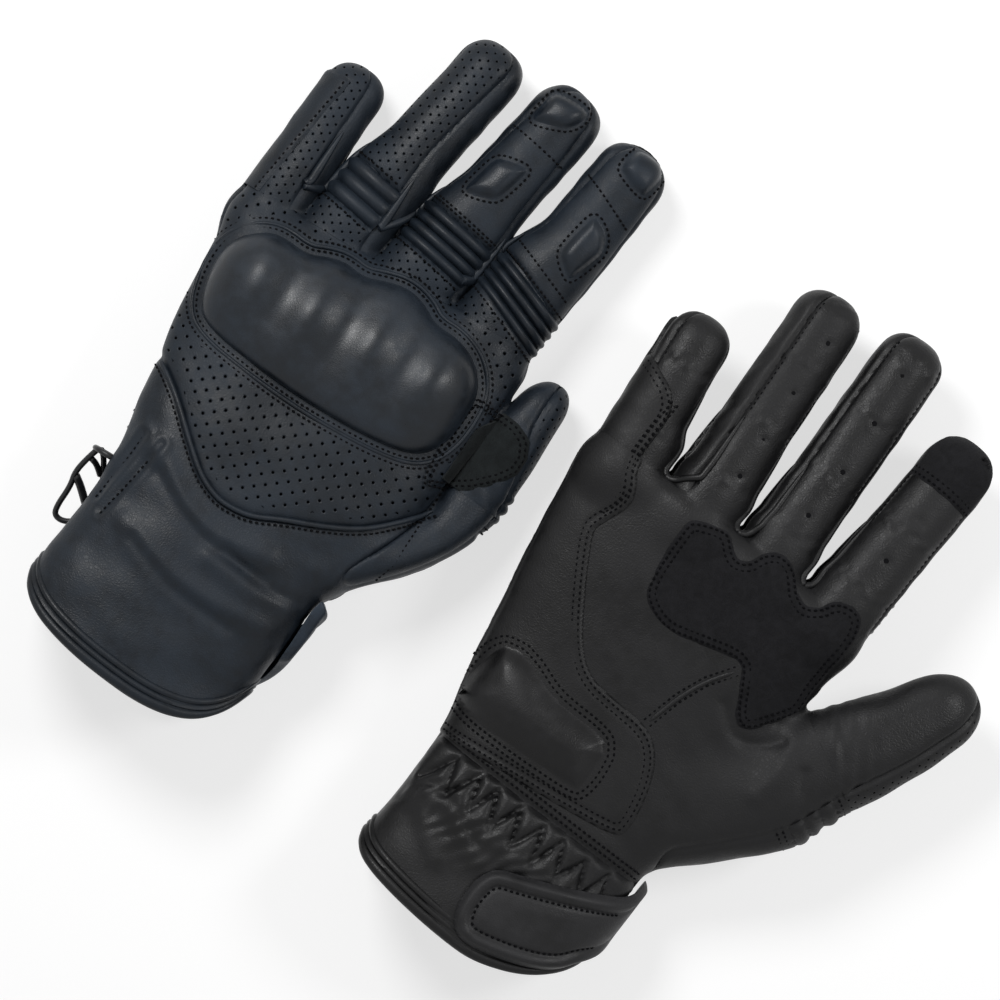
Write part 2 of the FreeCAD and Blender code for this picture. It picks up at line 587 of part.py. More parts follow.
# ------------------------------------------------------------------ digits
def sock(doc, glove, finger, name, inside, outside):
    """A finger-shaped layer, turned about Y, between two growths of the finger."""
    body = doc.addObject("PartDesign::Body", name)
    sketch = new_sketch(body, name + "Profile", "XY_Plane")
    root = size(glove, finger, "RootRadius")
    tip = size(glove, finger, "TipRadius")
    reach = size(glove, finger, "Long")
    normal = Vector(0, 0, 1)
    bend = Vector(3, 60, 0)
    skin = sketch.addGeometry(Part.LineSegment(Vector(12, -5, 0), Vector(11, 60, 0)))
    corner = sketch.addGeometry(Part.ArcOfCircle(Part.Circle(bend, normal, 8), 0, math.pi / 2))
    crown = sketch.addGeometry(Part.LineSegment(Vector(3, 68, 0), Vector(0, 68, 0)))
    pole = sketch.addGeometry(Part.LineSegment(Vector(0, 68, 0), Vector(0, 66, 0)))
    ceiling = sketch.addGeometry(Part.LineSegment(Vector(0, 66, 0), Vector(3, 66, 0)))
    nook = sketch.addGeometry(Part.ArcOfCircle(Part.Circle(bend, normal, 6), 0, math.pi / 2))
    lining = sketch.addGeometry(Part.LineSegment(Vector(9, 60, 0), Vector(10, -5, 0)))
    rim = sketch.addGeometry(Part.LineSegment(Vector(10, -5, 0), Vector(12, -5, 0)))
    sketch.addConstraint([
        Rule("Coincident", skin, 2, corner, 1),
        Rule("Coincident", corner, 2, crown, 1),
        Rule("Coincident", crown, 2, pole, 1),
        Rule("Coincident", pole, 2, ceiling, 1),
        Rule("Coincident", ceiling, 2, nook, 2),
        Rule("Coincident", nook, 1, lining, 1),
        Rule("Coincident", lining, 2, rim, 1),
        Rule("Coincident", rim, 2, skin, 1),
        Rule("PointOnObject", pole, 1, -2),
        Rule("PointOnObject", pole, 2, -2),
        Rule("Coincident", nook, 3, corner, 3),
        Rule("Horizontal", crown),
        Rule("Horizontal", ceiling),
        Rule("Horizontal", rim),
        Rule("Horizontal", corner, 3, corner, 1),
        Rule("Horizontal", corner, 3, nook, 1),
        Rule("Vertical", corner, 3, corner, 2),
        Rule("Vertical", corner, 3, nook, 2),
    ])
    drive(sketch, "Radius", (corner,), "Sizes.TipRound + " + outside, 8)
    drive(sketch, "Radius", (nook,), "Sizes.TipRound + " + inside, 6)
    drive(sketch, "DistanceY", (-1, 1, corner, 3), reach + " - Sizes.TipRound", 60)
    drive(sketch, "DistanceX", (-1, 1, corner, 3), tip + " - Sizes.TipRound", 3)
    drive(sketch, "DistanceX", (-1, 1, skin, 1), root + " + " + outside, 12)
    drive(sketch, "DistanceX", (-1, 1, rim, 1), root + " + " + inside, 10)
    drive(sketch, "DistanceY", (rim, 1, -1, 1), "Sizes.FingerTail", 5)
    turned = body.newObject("PartDesign::Revolution", name + "Turned")
    turned.Profile = sketch
    turned.ReferenceAxis = (sketch, ["V_Axis"])
    turned.Angle = 360
    body.Tip = turned
    return body


def placed(thing, where):
    """Give an object its place by expression."""
    thing.setExpression("Placement", where)
    return thing


def lozenge(across, along, wide, long_):
    """Corners of an elongated six-sided armour pad."""
    low = "(%s - %s / 2)" % (along, long_)
    high = "(%s + %s / 2)" % (along, long_)
    near = "(%s - %s / 2)" % (across, wide)
    away = "(%s + %s / 2)" % (across, wide)
    slope = "0.35 * %s" % wide
    return ((near, low + " + " + slope), (across, low), (away, low + " + " + slope),
            (away, high + " - " + slope), (across, high), (near, high + " - " + slope))


def finger_pieces(doc, glove, finger, hand_side):
    """Front and back of one finger, with the flex panel, pads and patches it carries."""
    name = glove + finger
    where = finger_spot(glove, finger)
    tube = sock(doc, glove, finger, name + "Sock", "-Sizes.WallThick", "0")
    under = block(doc, name + "Under", (str(2 * REACH), str(2 * REACH), str(REACH)),
                  spot(str(-REACH), str(-REACH), "Sizes.FingerSeam - %s" % REACH))
    front = placed(common(doc, name + "FrontSkin", tube, under), where)
    upper = cut(doc, name + "UpperSkin", tube, under)
    pieces = {"front": cut(doc, name + "Front", front, hand_side)}
    key = finger.lower() + "_"
    if finger != "Pinky":
        window = block(doc, name + "Window",
                       ("2 * Sizes.FlexHalfWide", "Sizes.FlexLong", str(REACH)),
                       spot("-Sizes.FlexHalfWide", "Sizes.FlexFrom", "Sizes.FingerSeam"))
        ribs = []
        for number in range(RIBS):
            rib = doc.addObject("Part::Torus", "%sRib%d" % (name, number))
            slope = "(%s - %s) / %s" % (size(name, "RootRadius"), size(name, "TipRadius"),
                                        size(name, "Long"))
            along = "(Sizes.FlexFrom + Sizes.FlexLong * %s)" % ((number + 0.5) / RIBS)
            bind(rib, Radius1="%s - %s * %s" % (size(name, "RootRadius"), slope, along),
                 Radius2="Sizes.RibRound", Placement=spot("0", along, "0", "0", "90"))
            ribs.append(rib)
        ribbed = fuse(doc, name + "Ribbed", [upper] + ribs)
        pieces["flex"] = placed(common(doc, name + "Flex", ribbed, window), where)
        upper = cut(doc, name + "WindowedSkin", upper, window)
    pieces["back"] = cut(doc, name + "Back", placed(upper, where), hand_side)
    if finger in PAD_SIZES:
        shell = sock(doc, glove, finger, name + "PadShell", "0", "Sizes.PadThick")
        above = cut(doc, name + "PadTop", shell, under)
        outlines = []
        for word in PAD_SIZES[finger]:
            across, along, wide, long_ = [size(finger, "Pad", word, field)
                                          for field in PAD_FIELDS]
            if word == "High":
                along = "(%s - %s)" % (size(name, "Long"), along)
            outlines.append(prism(doc, name + word + "PadArea",
                                  lozenge(across, along, wide, long_)))
        both = fuse(doc, name + "PadAreas", outlines)
        pieces["pads"] = placed(common(doc, name + "Pads", above, both), where)
    if finger == "Index":
        shell = sock(doc, glove, finger, name + "TouchShell", "0", "Sizes.TouchThick")
        tip_area = block(doc, name + "TouchArea",
                         (str(REACH), "Sizes.TouchLong + 5", str(REACH)),
                         spot(str(-REACH / 2), size(name, "Long") + " - Sizes.TouchLong",
                              "-%s" % REACH))
        pieces["touch_patch"] = placed(common(doc, name + "TouchPatch", shell, tip_area), where)
    if finger == "Pinky":
        shell = sock(doc, glove, finger, name + "SideShell", "0", "Sizes.OverlayThick")
        side_area = block(doc, name + "SideArea",
                          (str(REACH), "Sizes.PatchLong", "2 * Sizes.PatchHalfDrop"),
                          spot("-%s" % REACH, "2", "-Sizes.PatchHalfDrop"))
        pieces["side_patch"] = placed(common(doc, name + "SidePatch", shell, side_area), where)
    return {key + word: piece for word, piece in pieces.items()}


def thumb_pieces(doc, glove):
    """Front and back of the thumb."""
    outer = thumb_loft(doc, glove, glove + "ThumbOuter", "Thumb", THUMB_STATIONS, "0",
                       "Sizes.BodyGap")
    inner = thumb_loft(doc, glove, glove + "ThumbInner", "Thumb", THUMB_STATIONS[:4],
                       "-Sizes.WallThick", "Sizes.BodyGap")
    skin = cut(doc, glove + "ThumbSkin", outer, inner)
    under = block(doc, glove + "ThumbUnder", (str(2 * REACH), str(2 * REACH), str(REACH)),
                  spot(str(-REACH), str(-REACH), size(glove, "ThumbSeam") + " - %s" % REACH))
    return {
        "thumb_back": cut(doc, glove + "ThumbBack", skin, under),
        "thumb_front": common(doc, glove + "ThumbFront", skin, under),
    }


# ------------------------------------------------------------------ hanging clip
def ring_link(doc, name, long_cell, wide_cell, wire_cell, where):
    """A flat oblong link of square wire, hanging from its own origin towards -Y."""
    body = doc.addObject("PartDesign::Body", name)
    sketch = new_sketch(body, name + "Outline", "XY_Plane")
    normal = Vector(0, 0, 1)
    for inset, start in (("0", 4.0), (wire_cell, 2.0)):
        low = sketch.addGeometry(Part.ArcOfCircle(Part.Circle(Vector(0, -20, 0), normal, start),
                                                  math.pi, 2 * math.pi))
        high = sketch.addGeometry(Part.ArcOfCircle(Part.Circle(Vector(0, -4, 0), normal, start),
                                                   0, math.pi))
        near = sketch.addGeometry(Part.LineSegment(Vector(start, -20, 0),
                                                   Vector(start, -4, 0)))
        away = sketch.addGeometry(Part.LineSegment(Vector(-start, -20, 0),
                                                   Vector(-start, -4, 0)))
        sketch.addConstraint([
            Rule("Tangent", near, 1, low, 2),
            Rule("Tangent", near, 2, high, 1),
            Rule("Tangent", away, 1, low, 1),
            Rule("Tangent", away, 2, high, 2),
            Rule("Equal", low, high),
            Rule("PointOnObject", low, 3, -2),
            Rule("PointOnObject", high, 3, -2),
        ])
        drive(sketch, "Radius", (low,), "%s / 2 - %s" % (wide_cell, inset), start)
        drive(sketch, "DistanceY", (low, 3, high, 3), "%s - %s" % (long_cell, wide_cell), 16)
        drive(sketch, "DistanceY", (high, 3, -1, 1), "%s / 2" % wide_cell, 4)
    pad = body.newObject("PartDesign::Pad", name + "Pad")
    pad.Profile = sketch
    pad.Midplane = True
    pad.setExpression("Length", wire_cell)
    body.Tip = pad
    body.setExpression("Placement", where)
    return body


def clip_pieces(doc, glove, cover):
    """Plastic link that hangs from a sewn tape loop at the side of the cuff."""
    side = "%s - %s / 2 - Sizes.LoopOut" % (size(glove, "WristAcross"),
                                            size(glove, "WristWide"))
    along = size(glove, "WristAlong") + " + Sizes.LoopBack"
    rise = size(glove, "WristRise")
    ring = doc.addObject("Part::Torus", glove + "LoopRing")
    bind(ring, Radius1="Sizes.LoopRound", Radius2="Sizes.LoopThick",
         Placement=spot(side, along, rise, "0", "90"))
    top = along + " + Sizes.LoopThick + Sizes.ClipPlay + Sizes.ClipWire"
    link = ring_link(doc, glove + "Clip", "Sizes.ClipLong", "Sizes.ClipWide", "Sizes.ClipWire",
                     spot(side + " - Sizes.LoopRound", top, rise))
    return {
        "clip_loop": cut(doc, glove + "ClipLoop", ring, cover),
        "clip": link,
    }


# ------------------------------------------------------------------ the pair
def glove_pieces(doc, glove):
    """Every piece of one glove by its node name."""
    outer, shell = hand_shell(doc, glove)
    palm_side = palm_space(doc, glove)
    pieces = hand_panels(doc, glove, shell, palm_side)
    pieces.update(palm_overlays(doc, glove, outer, palm_side))
    pieces.update(cuff_binding(doc, glove, outer, shell))
    pieces.update(strap_pieces(doc, glove, outer))
    pieces.update(knuckle_guard(doc, glove, outer))
    hand_side = block(doc, glove + "HandSide", (str(2 * REACH), str(REACH), str(2 * REACH)),
                      spot(str(-REACH), size(glove, "FrontAlong") + " + Sizes.BodyGap - %s"
                           % REACH, str(-REACH)))
    for finger in FINGERS:
        pieces.update(finger_pieces(doc, glove, finger, hand_side))
    pieces.update(thumb_pieces(doc, glove))
    if glove == "Left":
        pieces.update(clip_pieces(doc, glove, doc.getObject(glove + "Cover")))
    return pieces


def tight_box(things):
    """Exact bounding box of several objects together."""
    box = FreeCAD.BoundBox()
    for thing in things:
        box.add(thing.Shape.optimalBoundingBox(False, False))
    return box


def failed(doc):
    """Names of objects that did not compute."""
    return [item.Name for item in doc.Objects
            if any(state in ("Invalid", "Error") for state in item.State)]


def build():
    doc = FreeCAD.newDocument("RidingGloves")
    sheet = fill_sheet(doc)
    nodes = {}
    for glove in GLOVES:
        pieces = glove_pieces(doc, glove)
        doc.recompute()
        names = list(pieces)
        made = [pieces[name] for name in names]
        if glove == "Right":
            flipped = []
            for piece in made:
                mirror = doc.addObject("Part::Mirroring", piece.Name + "PalmUp")
                mirror.Source = piece
                mirror.Normal = Vector(0, 0, 1)
                flipped.append(mirror)
            made = flipped
            doc.recompute()
        lie = FreeCAD.Placement(
            Vector(sheet.get(glove + "LieAcross"), sheet.get(glove + "LieAlong"), 0),
            FreeCAD.Rotation(Vector(0, 0, 1), sheet.get(glove + "LieTurn")))
        for name, piece in zip(names, made):
            holder = doc.addObject("Part::Compound", glove + "Laid" + name)
            holder.Links = [piece]
            holder.Placement = lie
            nodes[glove.lower() + "_" + name] = holder
        doc.recompute()
        low = tight_box([nodes[glove.lower() + "_" + name] for name in names]).ZMin
        for name in names:
            node = nodes[glove.lower() + "_" + name]
            node.Placement.Base.z = -low
    doc.recompute()
    box = tight_box(nodes.values())
    for name, node in nodes.items():
        node.Placement.Base.x -= box.Center.x
        node.Placement.Base.y -= box.Center.y
        node.Label = name
    doc.recompute()
    return doc, nodes


def check(doc, nodes):
    """Stop with a message if anything failed, is empty or is not a sound solid."""
    broken = failed(doc)
    for name, node in nodes.items():
        shape = node.Shape
        if shape.isNull() or not shape.isValid() or not shape.Solids:
            broken.append(name)
    if broken:
        raise SystemExit("These did not build: " + ", ".join(broken))


def export(nodes):
    """Write one STEP file for each piece."""
    os.makedirs("parts", exist_ok=True)
    for name, node in nodes.items():
        node.Shape.exportStep("parts/" + name + ".step")


document, pieces_by_name = build()
check(document, pieces_by_name)
export(pieces_by_name)
print(len(pieces_by_name), "pieces written")
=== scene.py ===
import json
import logging
import math
from dataclasses import astuple, dataclass, field
from enum import Enum
from typing import Callable, Sequence

import bpy
import numpy as np
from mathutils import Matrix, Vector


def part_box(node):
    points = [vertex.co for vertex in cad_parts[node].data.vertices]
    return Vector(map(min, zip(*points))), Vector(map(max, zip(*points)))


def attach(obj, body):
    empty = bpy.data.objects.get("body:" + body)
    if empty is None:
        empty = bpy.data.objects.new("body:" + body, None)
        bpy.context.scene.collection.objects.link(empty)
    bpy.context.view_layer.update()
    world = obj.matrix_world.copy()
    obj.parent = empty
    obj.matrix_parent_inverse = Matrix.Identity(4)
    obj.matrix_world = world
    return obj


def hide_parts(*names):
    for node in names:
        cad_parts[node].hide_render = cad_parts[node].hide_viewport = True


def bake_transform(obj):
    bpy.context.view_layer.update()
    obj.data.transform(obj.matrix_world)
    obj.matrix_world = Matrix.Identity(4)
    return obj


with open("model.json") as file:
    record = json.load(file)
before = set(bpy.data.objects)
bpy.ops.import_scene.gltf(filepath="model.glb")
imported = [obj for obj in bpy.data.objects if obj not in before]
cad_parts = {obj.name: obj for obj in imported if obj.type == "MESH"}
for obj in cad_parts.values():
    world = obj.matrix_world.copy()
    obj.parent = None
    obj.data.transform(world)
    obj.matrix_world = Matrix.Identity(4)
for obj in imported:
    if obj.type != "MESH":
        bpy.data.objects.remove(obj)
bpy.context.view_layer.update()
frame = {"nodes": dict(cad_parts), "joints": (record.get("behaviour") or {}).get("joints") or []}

import openvdb
from mathutils import Matrix, Vector

MM = 0.001
Plan = Sequence[tuple[float, float]]
Spots = tuple[np.ndarray, np.ndarray, np.ndarray]
log = logging.getLogger("riding_gloves")


# ---------------------------------------------------------------- plain geometry

def through(stations: Sequence[float], values: Sequence[float], at: np.ndarray) -> np.ndarray:
    """Read a smooth curve that passes through a few stations.

    Args:
        stations: ascending places along the curve.
        values: the curve's value at each of them.
        at: where to read it; places outside the stations read their ends.

    Returns:
        The curve's value at each place.
    """
    x, y = np.asarray(stations, float), np.asarray(values, float)
    slope = np.gradient(y, x)
    at = np.clip(at, x[0], x[-1])
    i = np.clip(np.searchsorted(x, at) - 1, 0, len(x) - 2)
    step = x[i + 1] - x[i]
    t = (at - x[i]) / step
    start = (1 + 2 * t) * (1 - t) ** 2 * y[i] + t * (1 - t) ** 2 * step * slope[i]
    return start + t * t * (3 - 2 * t) * y[i + 1] + t * t * (t - 1) * step * slope[i + 1]


def smooth_step(low: float, high: float, value: np.ndarray) -> np.ndarray:
    """Rise smoothly from 0 at low to 1 at high."""
    t = np.clip((value - low) / (high - low), 0, 1)
    return t * t * (3 - 2 * t)


def hump(value: np.ndarray, width: float) -> np.ndarray:
    """Fall smoothly from 1 at nought towards 0 past the width, on both sides."""
    return np.exp(-((value / width) ** 2))


def unit(rows: np.ndarray) -> np.ndarray:
    """Scale each row to a length of one."""
    return rows / np.maximum(np.linalg.norm(rows, axis=1, keepdims=True), 1e-9)


def melt(a: np.ndarray, b: np.ndarray, reach: np.ndarray | float) -> np.ndarray:
    """Join two distance fields with a fillet of the given reach."""
    share = np.clip(0.5 + 0.5 * (b - a) / reach, 0, 1)
    return b * (1 - share) + a * share - reach * share * (1 - share)


def rounded(corners: Plan, closed: bool = True, times: int = 3) -> np.ndarray:
    """Round a polyline's corners by cutting them a few times.

    Args:
        corners: the polyline's points.
        closed: whether its last point joins its first.
        times: how often its corners are cut.

    Returns:
        The rounded polyline, without a repeated last point.
    """
    line = np.asarray(corners, float)
    for _ in range(times):
        after = np.roll(line, -1, axis=0) if closed else line[1:]
        before = line if closed else line[:-1]
        near, far = before * 0.75 + after * 0.25, before * 0.25 + after * 0.75
        cut = np.stack([near, far], axis=1).reshape(-1, line.shape[1])
        line = cut if closed else np.vstack([line[:1], cut[1:-1], line[-1:]])
    return line


def cornered(corners: Plan, reach: float) -> np.ndarray:
    """Round a closed outline's corners by about the same reach at each, keeping its straight sides.

    Args:
        corners: the outline's corners.
        reach: how much of each side a corner takes.

    Returns:
        The rounded outline.
    """
    line = np.asarray(corners, float)
    points = []
    for before, here, after in zip(np.roll(line, 1, axis=0), line, np.roll(line, -1, axis=0)):
        for other in (before, after):
            way = other - here
            far = np.linalg.norm(way)
            points.append(here + way / far * min(reach, far * 0.45))
    return rounded(points, times=2)


def line_distance(places: np.ndarray, line: np.ndarray, closed: bool = False) -> np.ndarray:
    """Measure the distance from each place to a polyline in the plan.

    Args:
        places: places in the plan.
        line: the polyline.
        closed: whether its last point joins its first.

    Returns:
        Each place's distance from the polyline.
    """
    start = line if closed else line[:-1]
    end = np.roll(line, -1, axis=0) if closed else line[1:]
    nearest = np.full(len(places), 1e9)
    for a, b in zip(start, end):
        along = b - a
        t = np.clip(((places - a) @ along) / max(along @ along, 1e-9), 0, 1)
        gap = places - a - t[:, None] * along
        nearest = np.minimum(nearest, np.einsum("ij,ij->i", gap, gap))
    return np.sqrt(nearest)


def inside_distance(places: np.ndarray, outline: np.ndarray) -> np.ndarray:
    """Measure how deep each place is inside a closed outline, negative outside it.

    Args:
        places: places in the plan.
        outline: the closed outline, in the plan.

    Returns:
        Each place's depth, negative outside.
    """
    inside = np.zeros(len(places), bool)
    for a, b in zip(outline, np.roll(outline, -1, axis=0)):
        spans = (a[1] > places[:, 1]) != (b[1] > places[:, 1])
        if not spans.any() or a[1] == b[1]:
            continue
        crossing = a[0] + (places[:, 1] - a[1]) * (b[0] - a[0]) / (b[1] - a[1])
        inside ^= spans & (places[:, 0] < crossing)
    return np.where(inside, 1, -1) * line_distance(places, outline, True)


def walked(line: np.ndarray, pitch: float) -> np.ndarray:
    """Step along a polyline at an even pitch.

    Args:
        line: the polyline.
        pitch: the distance from step to step.

    Returns:
        The points stepped on.
    """
    runs = np.linalg.norm(np.diff(line, axis=0), axis=1)
    length = np.concatenate([[0], np.cumsum(runs)])
    marks = np.linspace(0, length[-1], max(2, int(round(length[-1] / pitch)) + 1))
    return np.stack([np.interp(marks, length, line[:, k]) for k in range(line.shape[1])], axis=1)


def framed(line: np.ndarray, normals: np.ndarray, pitch: float) -> tuple[np.ndarray, ...]:
    """Step along a line on the leather at an even pitch.

    Args:
        line: points along it.
        normals: the way out at each.
        pitch: from step to step.

    Returns:
        The places stepped on, and the ways along, out and across at each.
    """
    both = walked(np.hstack([line, normals]), pitch)
    places, out = both[:, :3], both[:, 3:]
    along = unit(np.gradient(places, axis=0))
    out = unit(out - np.einsum("ij,ij->i", out, along)[:, None] * along)
    return places, along, out, np.cross(along, out)


def turning(outline: np.ndarray) -> float:
    """Tell which way a closed outline runs: 1 where its inside is on the left, else -1."""
    after = np.roll(outline, -1, axis=0)
    return 1.0 if np.sum(outline[:, 0] * after[:, 1] - after[:, 0] * outline[:, 1]) > 0 else -1.0


def left_of(path: np.ndarray) -> np.ndarray:
    """Point to the left of a plan line at each of its points."""
    way = unit(np.gradient(path, axis=0))
    return np.column_stack([-way[:, 1], way[:, 0]])


def net_faces(rows: int, columns: int, under: bool = False) -> np.ndarray:
    """Join a net of points, kept row by row, into triangles.

    Args:
        rows: how many rows it has.
        columns: how many points a row has.
        under: whether the triangles face the other way.

    Returns:
        The triangles.
    """
    index = np.arange(rows * columns).reshape(rows, columns)
    a, b, c, d = index[:-1, :-1], index[1:, :-1], index[1:, 1:], index[:-1, 1:]
    halves = ((a, c, b), (a, d, c)) if under else ((a, b, c), (a, c, d))
    return np.concatenate([np.stack(half, -1).reshape(-1, 3) for half in halves])


def net_over(outline: np.ndarray, spacing: float) -> tuple[np.ndarray, tuple[int, int]]:
    """Spread an even net of plan places over an outline, with its rows and columns.

    Args:
        outline: the closed outline, in the plan.
        spacing: the size of the net's mesh.

    Returns:
        The places, and the net's rows and columns.
    """
    low, high = outline.min(axis=0) - 1, outline.max(axis=0) + 1
    x, y = (np.arange(a, b, spacing) for a, b in zip(low, high))
    return np.stack(np.meshgrid(x, y, indexing="ij"), -1).reshape(-1, 2), (len(x), len(y))


def meshed(values: np.ndarray, step: float, low: np.ndarray) -> tuple[np.ndarray, np.ndarray]:
    """Mesh the surface where a distance field is nought.

    Args:
        values: the field on an even grid.
        step: the grid's mesh.
        low: the grid's lowest corner.

    Returns:
        The surface's points and its triangles.
    """
    grid = openvdb.FloatGrid(background=4.0)
    grid.copyFromArray(np.clip(values, -4, 4).astype(np.float32))
    points, tris, quads = grid.convertToPolygons(isovalue=0.0, adaptivity=0.0)
    faces = np.concatenate([quads[:, [0, 1, 2]], quads[:, [0, 2, 3]], tris]).astype(int)
    return points * step + low, faces


def noise(places: np.ndarray, size: float, seed: int) -> np.ndarray:
    """Sum a few seeded waves into a soft bumpy field between about -1 and 1.

    Args:
        places: where to read the field.
        size: how far apart its bumps are.
        seed: which field of many it is.

    Returns:
        The field's value at each place.
    """
    rng = np.random.default_rng(seed)
    total = np.zeros(len(places))
    for _ in range(9):
        turn = rng.normal(size=places.shape[1])
        turn *= 2 * math.pi / size * rng.uniform(0.6, 1.4) / np.linalg.norm(turn)
        total += np.sin(places @ turn + rng.uniform(0, 2 * math.pi))
    return total / 3.6


@dataclass
class Sheet:
    """A triangulated patch of the glove's surface, with the way out at each point."""

    points: np.ndarray
    normals: np.ndarray
    faces: np.ndarray

    @property
    def plan(self) -> np.ndarray:
        """The points seen from straight above."""
        return self.points[:, :2]

    def trimmed(self, keep: np.ndarray) -> "Sheet":
        """Cut the patch along the line where keep is nought, and leave the positive side.

        Args:
            keep: one value for each point, falling through nought at the cut.

        Returns:
            The patch that is left, with new points along the cut.
        """
        keep = np.where(np.abs(keep) < 1e-4, 1e-4, keep)
        rows = np.hstack([self.points, self.normals])
        held = keep > 0
        count = held[self.faces].sum(axis=1)
        whole = self.faces[count == 3]
        parts = [whole]
        added: list[np.ndarray] = []
        base = len(rows)
        for odd_inside in (True, False):
            some = self.faces[count == (1 if odd_inside else 2)]
            if not len(some):
                continue
            odd = np.argmax(held[some] == odd_inside, axis=1)
            turned = np.stack([some[np.arange(len(some)), (odd + k) % 3] for k in range(3)], axis=1)
            a, b, c = turned.T
            pairs = np.sort(np.concatenate([np.stack([a, b], 1), np.stack([a, c], 1)]), axis=1)
            edges, back = np.unique(pairs, axis=0, return_inverse=True)
            back = back.reshape(-1)
            share = keep[edges[:, 0]] / (keep[edges[:, 0]] - keep[edges[:, 1]])
            start, end = rows[edges[:, 0]], rows[edges[:, 1]]
            added.append(start + (end - start) * share[:, None])
            ab, ac = back[: len(some)] + base, back[len(some):] + base
            base += len(edges)
            if odd_inside:
                parts.append(np.stack([a, ab, ac], 1))
            else:
                parts += [np.stack([ab, b, c], 1), np.stack([ab, c, ac], 1)]
        faces = np.concatenate(parts)
        rows = np.vstack([rows, *added])
        corners = np.round(rows[:, :3] * 2000).astype(np.int64)
        used = np.unique(faces)
        _, first, group = np.unique(corners[used], axis=0, return_index=True, return_inverse=True)
        renumber = np.full(len(rows), -1)
        renumber[used] = group.reshape(-1)
        faces = renumber[faces]
        whole = (faces[:, 0] != faces[:, 1]) & (faces[:, 1] != faces[:, 2]) & (faces[:, 0] != faces[:, 2])
        rows = rows[used[first]]
        return Sheet(rows[:, :3], unit(rows[:, 3:]), faces[whole])

    def biggest(self, least: int = 60) -> "Sheet":
        """Drop the crumbs that a cut leaves: keep connected patches of at least this many faces.

        Args:
            least: the fewest faces a patch may have.

        Returns:
            The patches that are left.
        """
        parent = np.arange(len(self.points))
        for _ in range(200):
            low = parent[self.faces].min(axis=1)
            before = parent.copy()
            for k in range(3):
                np.minimum.at(parent, self.faces[:, k], low)
            parent = parent[parent]
            if (parent == before).all():
                break
        labels, sizes = np.unique(parent[self.faces[:, 0]], return_counts=True)
        keep = np.isin(parent[self.faces[:, 0]], labels[sizes >= least])
        faces = self.faces[keep]
        used = np.unique(faces)
        renumber = np.zeros(len(self.points), int)
        renumber[used] = np.arange(len(used))
        return Sheet(self.points[used], self.normals[used], renumber[faces])

    def shell(self, outer: np.ndarray, inner: np.ndarray) -> tuple[np.ndarray, np.ndarray]:
        """Close the patch into a piece of leather.

        Args:
            outer: how far each point's outer face stands out.
            inner: how far its inner face stands out.

        Returns:
            The closed piece's points and its faces.
        """
        count = len(self.points)
        top = self.points + self.normals * np.broadcast_to(outer, count)[:, None]
        low = self.points + self.normals * np.broadcast_to(inner, count)[:, None]
        directed = np.concatenate([self.faces[:, [0, 1]], self.faces[:, [1, 2]], self.faces[:, [2, 0]]])
        key = directed[:, 0].astype(np.int64) * count + directed[:, 1]
        other = directed[:, 1].astype(np.int64) * count + directed[:, 0]
        rim = directed[~np.isin(key, other)]
        walls = [np.stack([rim[:, 1], rim[:, 0], rim[:, 0] + count], 1),
                 np.stack([rim[:, 1], rim[:, 0] + count, rim[:, 1] + count], 1)]
        faces = np.concatenate([self.faces, self.faces[:, ::-1] + count, *walls])
        return np.vstack([top, low]), faces


# ---------------------------------------------------------------- the glove's form

class Side(Enum):
    """Which hand a glove is for."""

    LEFT = "left"
    RIGHT = "right"


class Face(Enum):
    """Which face of the glove a detail is on."""

    BACK = 1
    PALM = -1


@dataclass(frozen=True)
class Station:
    """One cross-section of the hand, in millimetres."""

    along: float
    low: float
    high: float
    rise: float
    thick: float


@dataclass(frozen=True)
class ThumbStation:
    """One cross-section of the thumb, with its place along and across the thumb's own line."""

    along: float
    shift: float
    rise: float
    wide: float
    tall: float


def between(stations: Sequence[Station | ThumbStation], along: np.ndarray) -> list[np.ndarray]:
    """Read every size of a row of cross-sections at places along it."""
    rows = np.array([astuple(station) for station in stations])
    return [through(rows[:, 0], column, along) for column in rows[:, 1:].T]


@dataclass(frozen=True)
class Trunk:
    """The hand and the cuff, from the hem to the finger roots."""

    stations: tuple[Station, ...]
    front: float
    power: float = 2.7
    nose: float = 12.0

    def section(self, along: np.ndarray) -> tuple[np.ndarray, np.ndarray, np.ndarray, np.ndarray]:
        """Read the centre, half width, height and half thickness at a place along the hand."""
        low, high, rise, thick = between(self.stations, along)
        return (low + high) / 2, (high - low) / 2, rise, thick / 2

    def distance(self, x: np.ndarray, y: np.ndarray, z: np.ndarray) -> np.ndarray:
        """Measure the distance to the hand's surface, negative inside it.

        Args:
            x: the points' first coordinates.
            y: their second coordinates.
            z: their third coordinates.

        Returns:
            The distances.
        """
        centre, wide, rise, tall = self.section(y)
        n = self.power
        across, up = np.abs(x - centre) / wide, np.abs(z - rise) / tall
        end = np.clip((y - (self.front + 3.0 - self.nose)) / self.nose, 0, None)
        total = (across ** n + up ** n + end ** n + 1e-9) ** (1 / n)
        pull = total ** (1 - n)
        slope = np.sqrt((pull * across ** (n - 1) / wide) ** 2 + (pull * up ** (n - 1) / tall) ** 2
                        + (pull * end ** (n - 1) / self.nose) ** 2)
        return (total - 1) / np.maximum(slope, 1 / wide)

    def ring(self, along: np.ndarray, angle: np.ndarray, proud: float = 0.0) -> np.ndarray:
        """Find points on the cuff's surface at an angle round it, from the thumb side upward.

        Args:
            along: places along it.
            angle: angles round it.
            proud: how far off the surface they are.

        Returns:
            The points.
        """
        centre, wide, rise, tall = self.section(along)
        c, s = np.cos(angle), np.sin(angle)
        bulk = (np.abs(c) ** self.power + np.abs(s) ** self.power) ** (-1 / self.power)
        across, up = centre + (wide + proud) * c * bulk, rise + (tall + proud) * s * bulk
        return np.stack([across, along + 0 * c, up], -1)


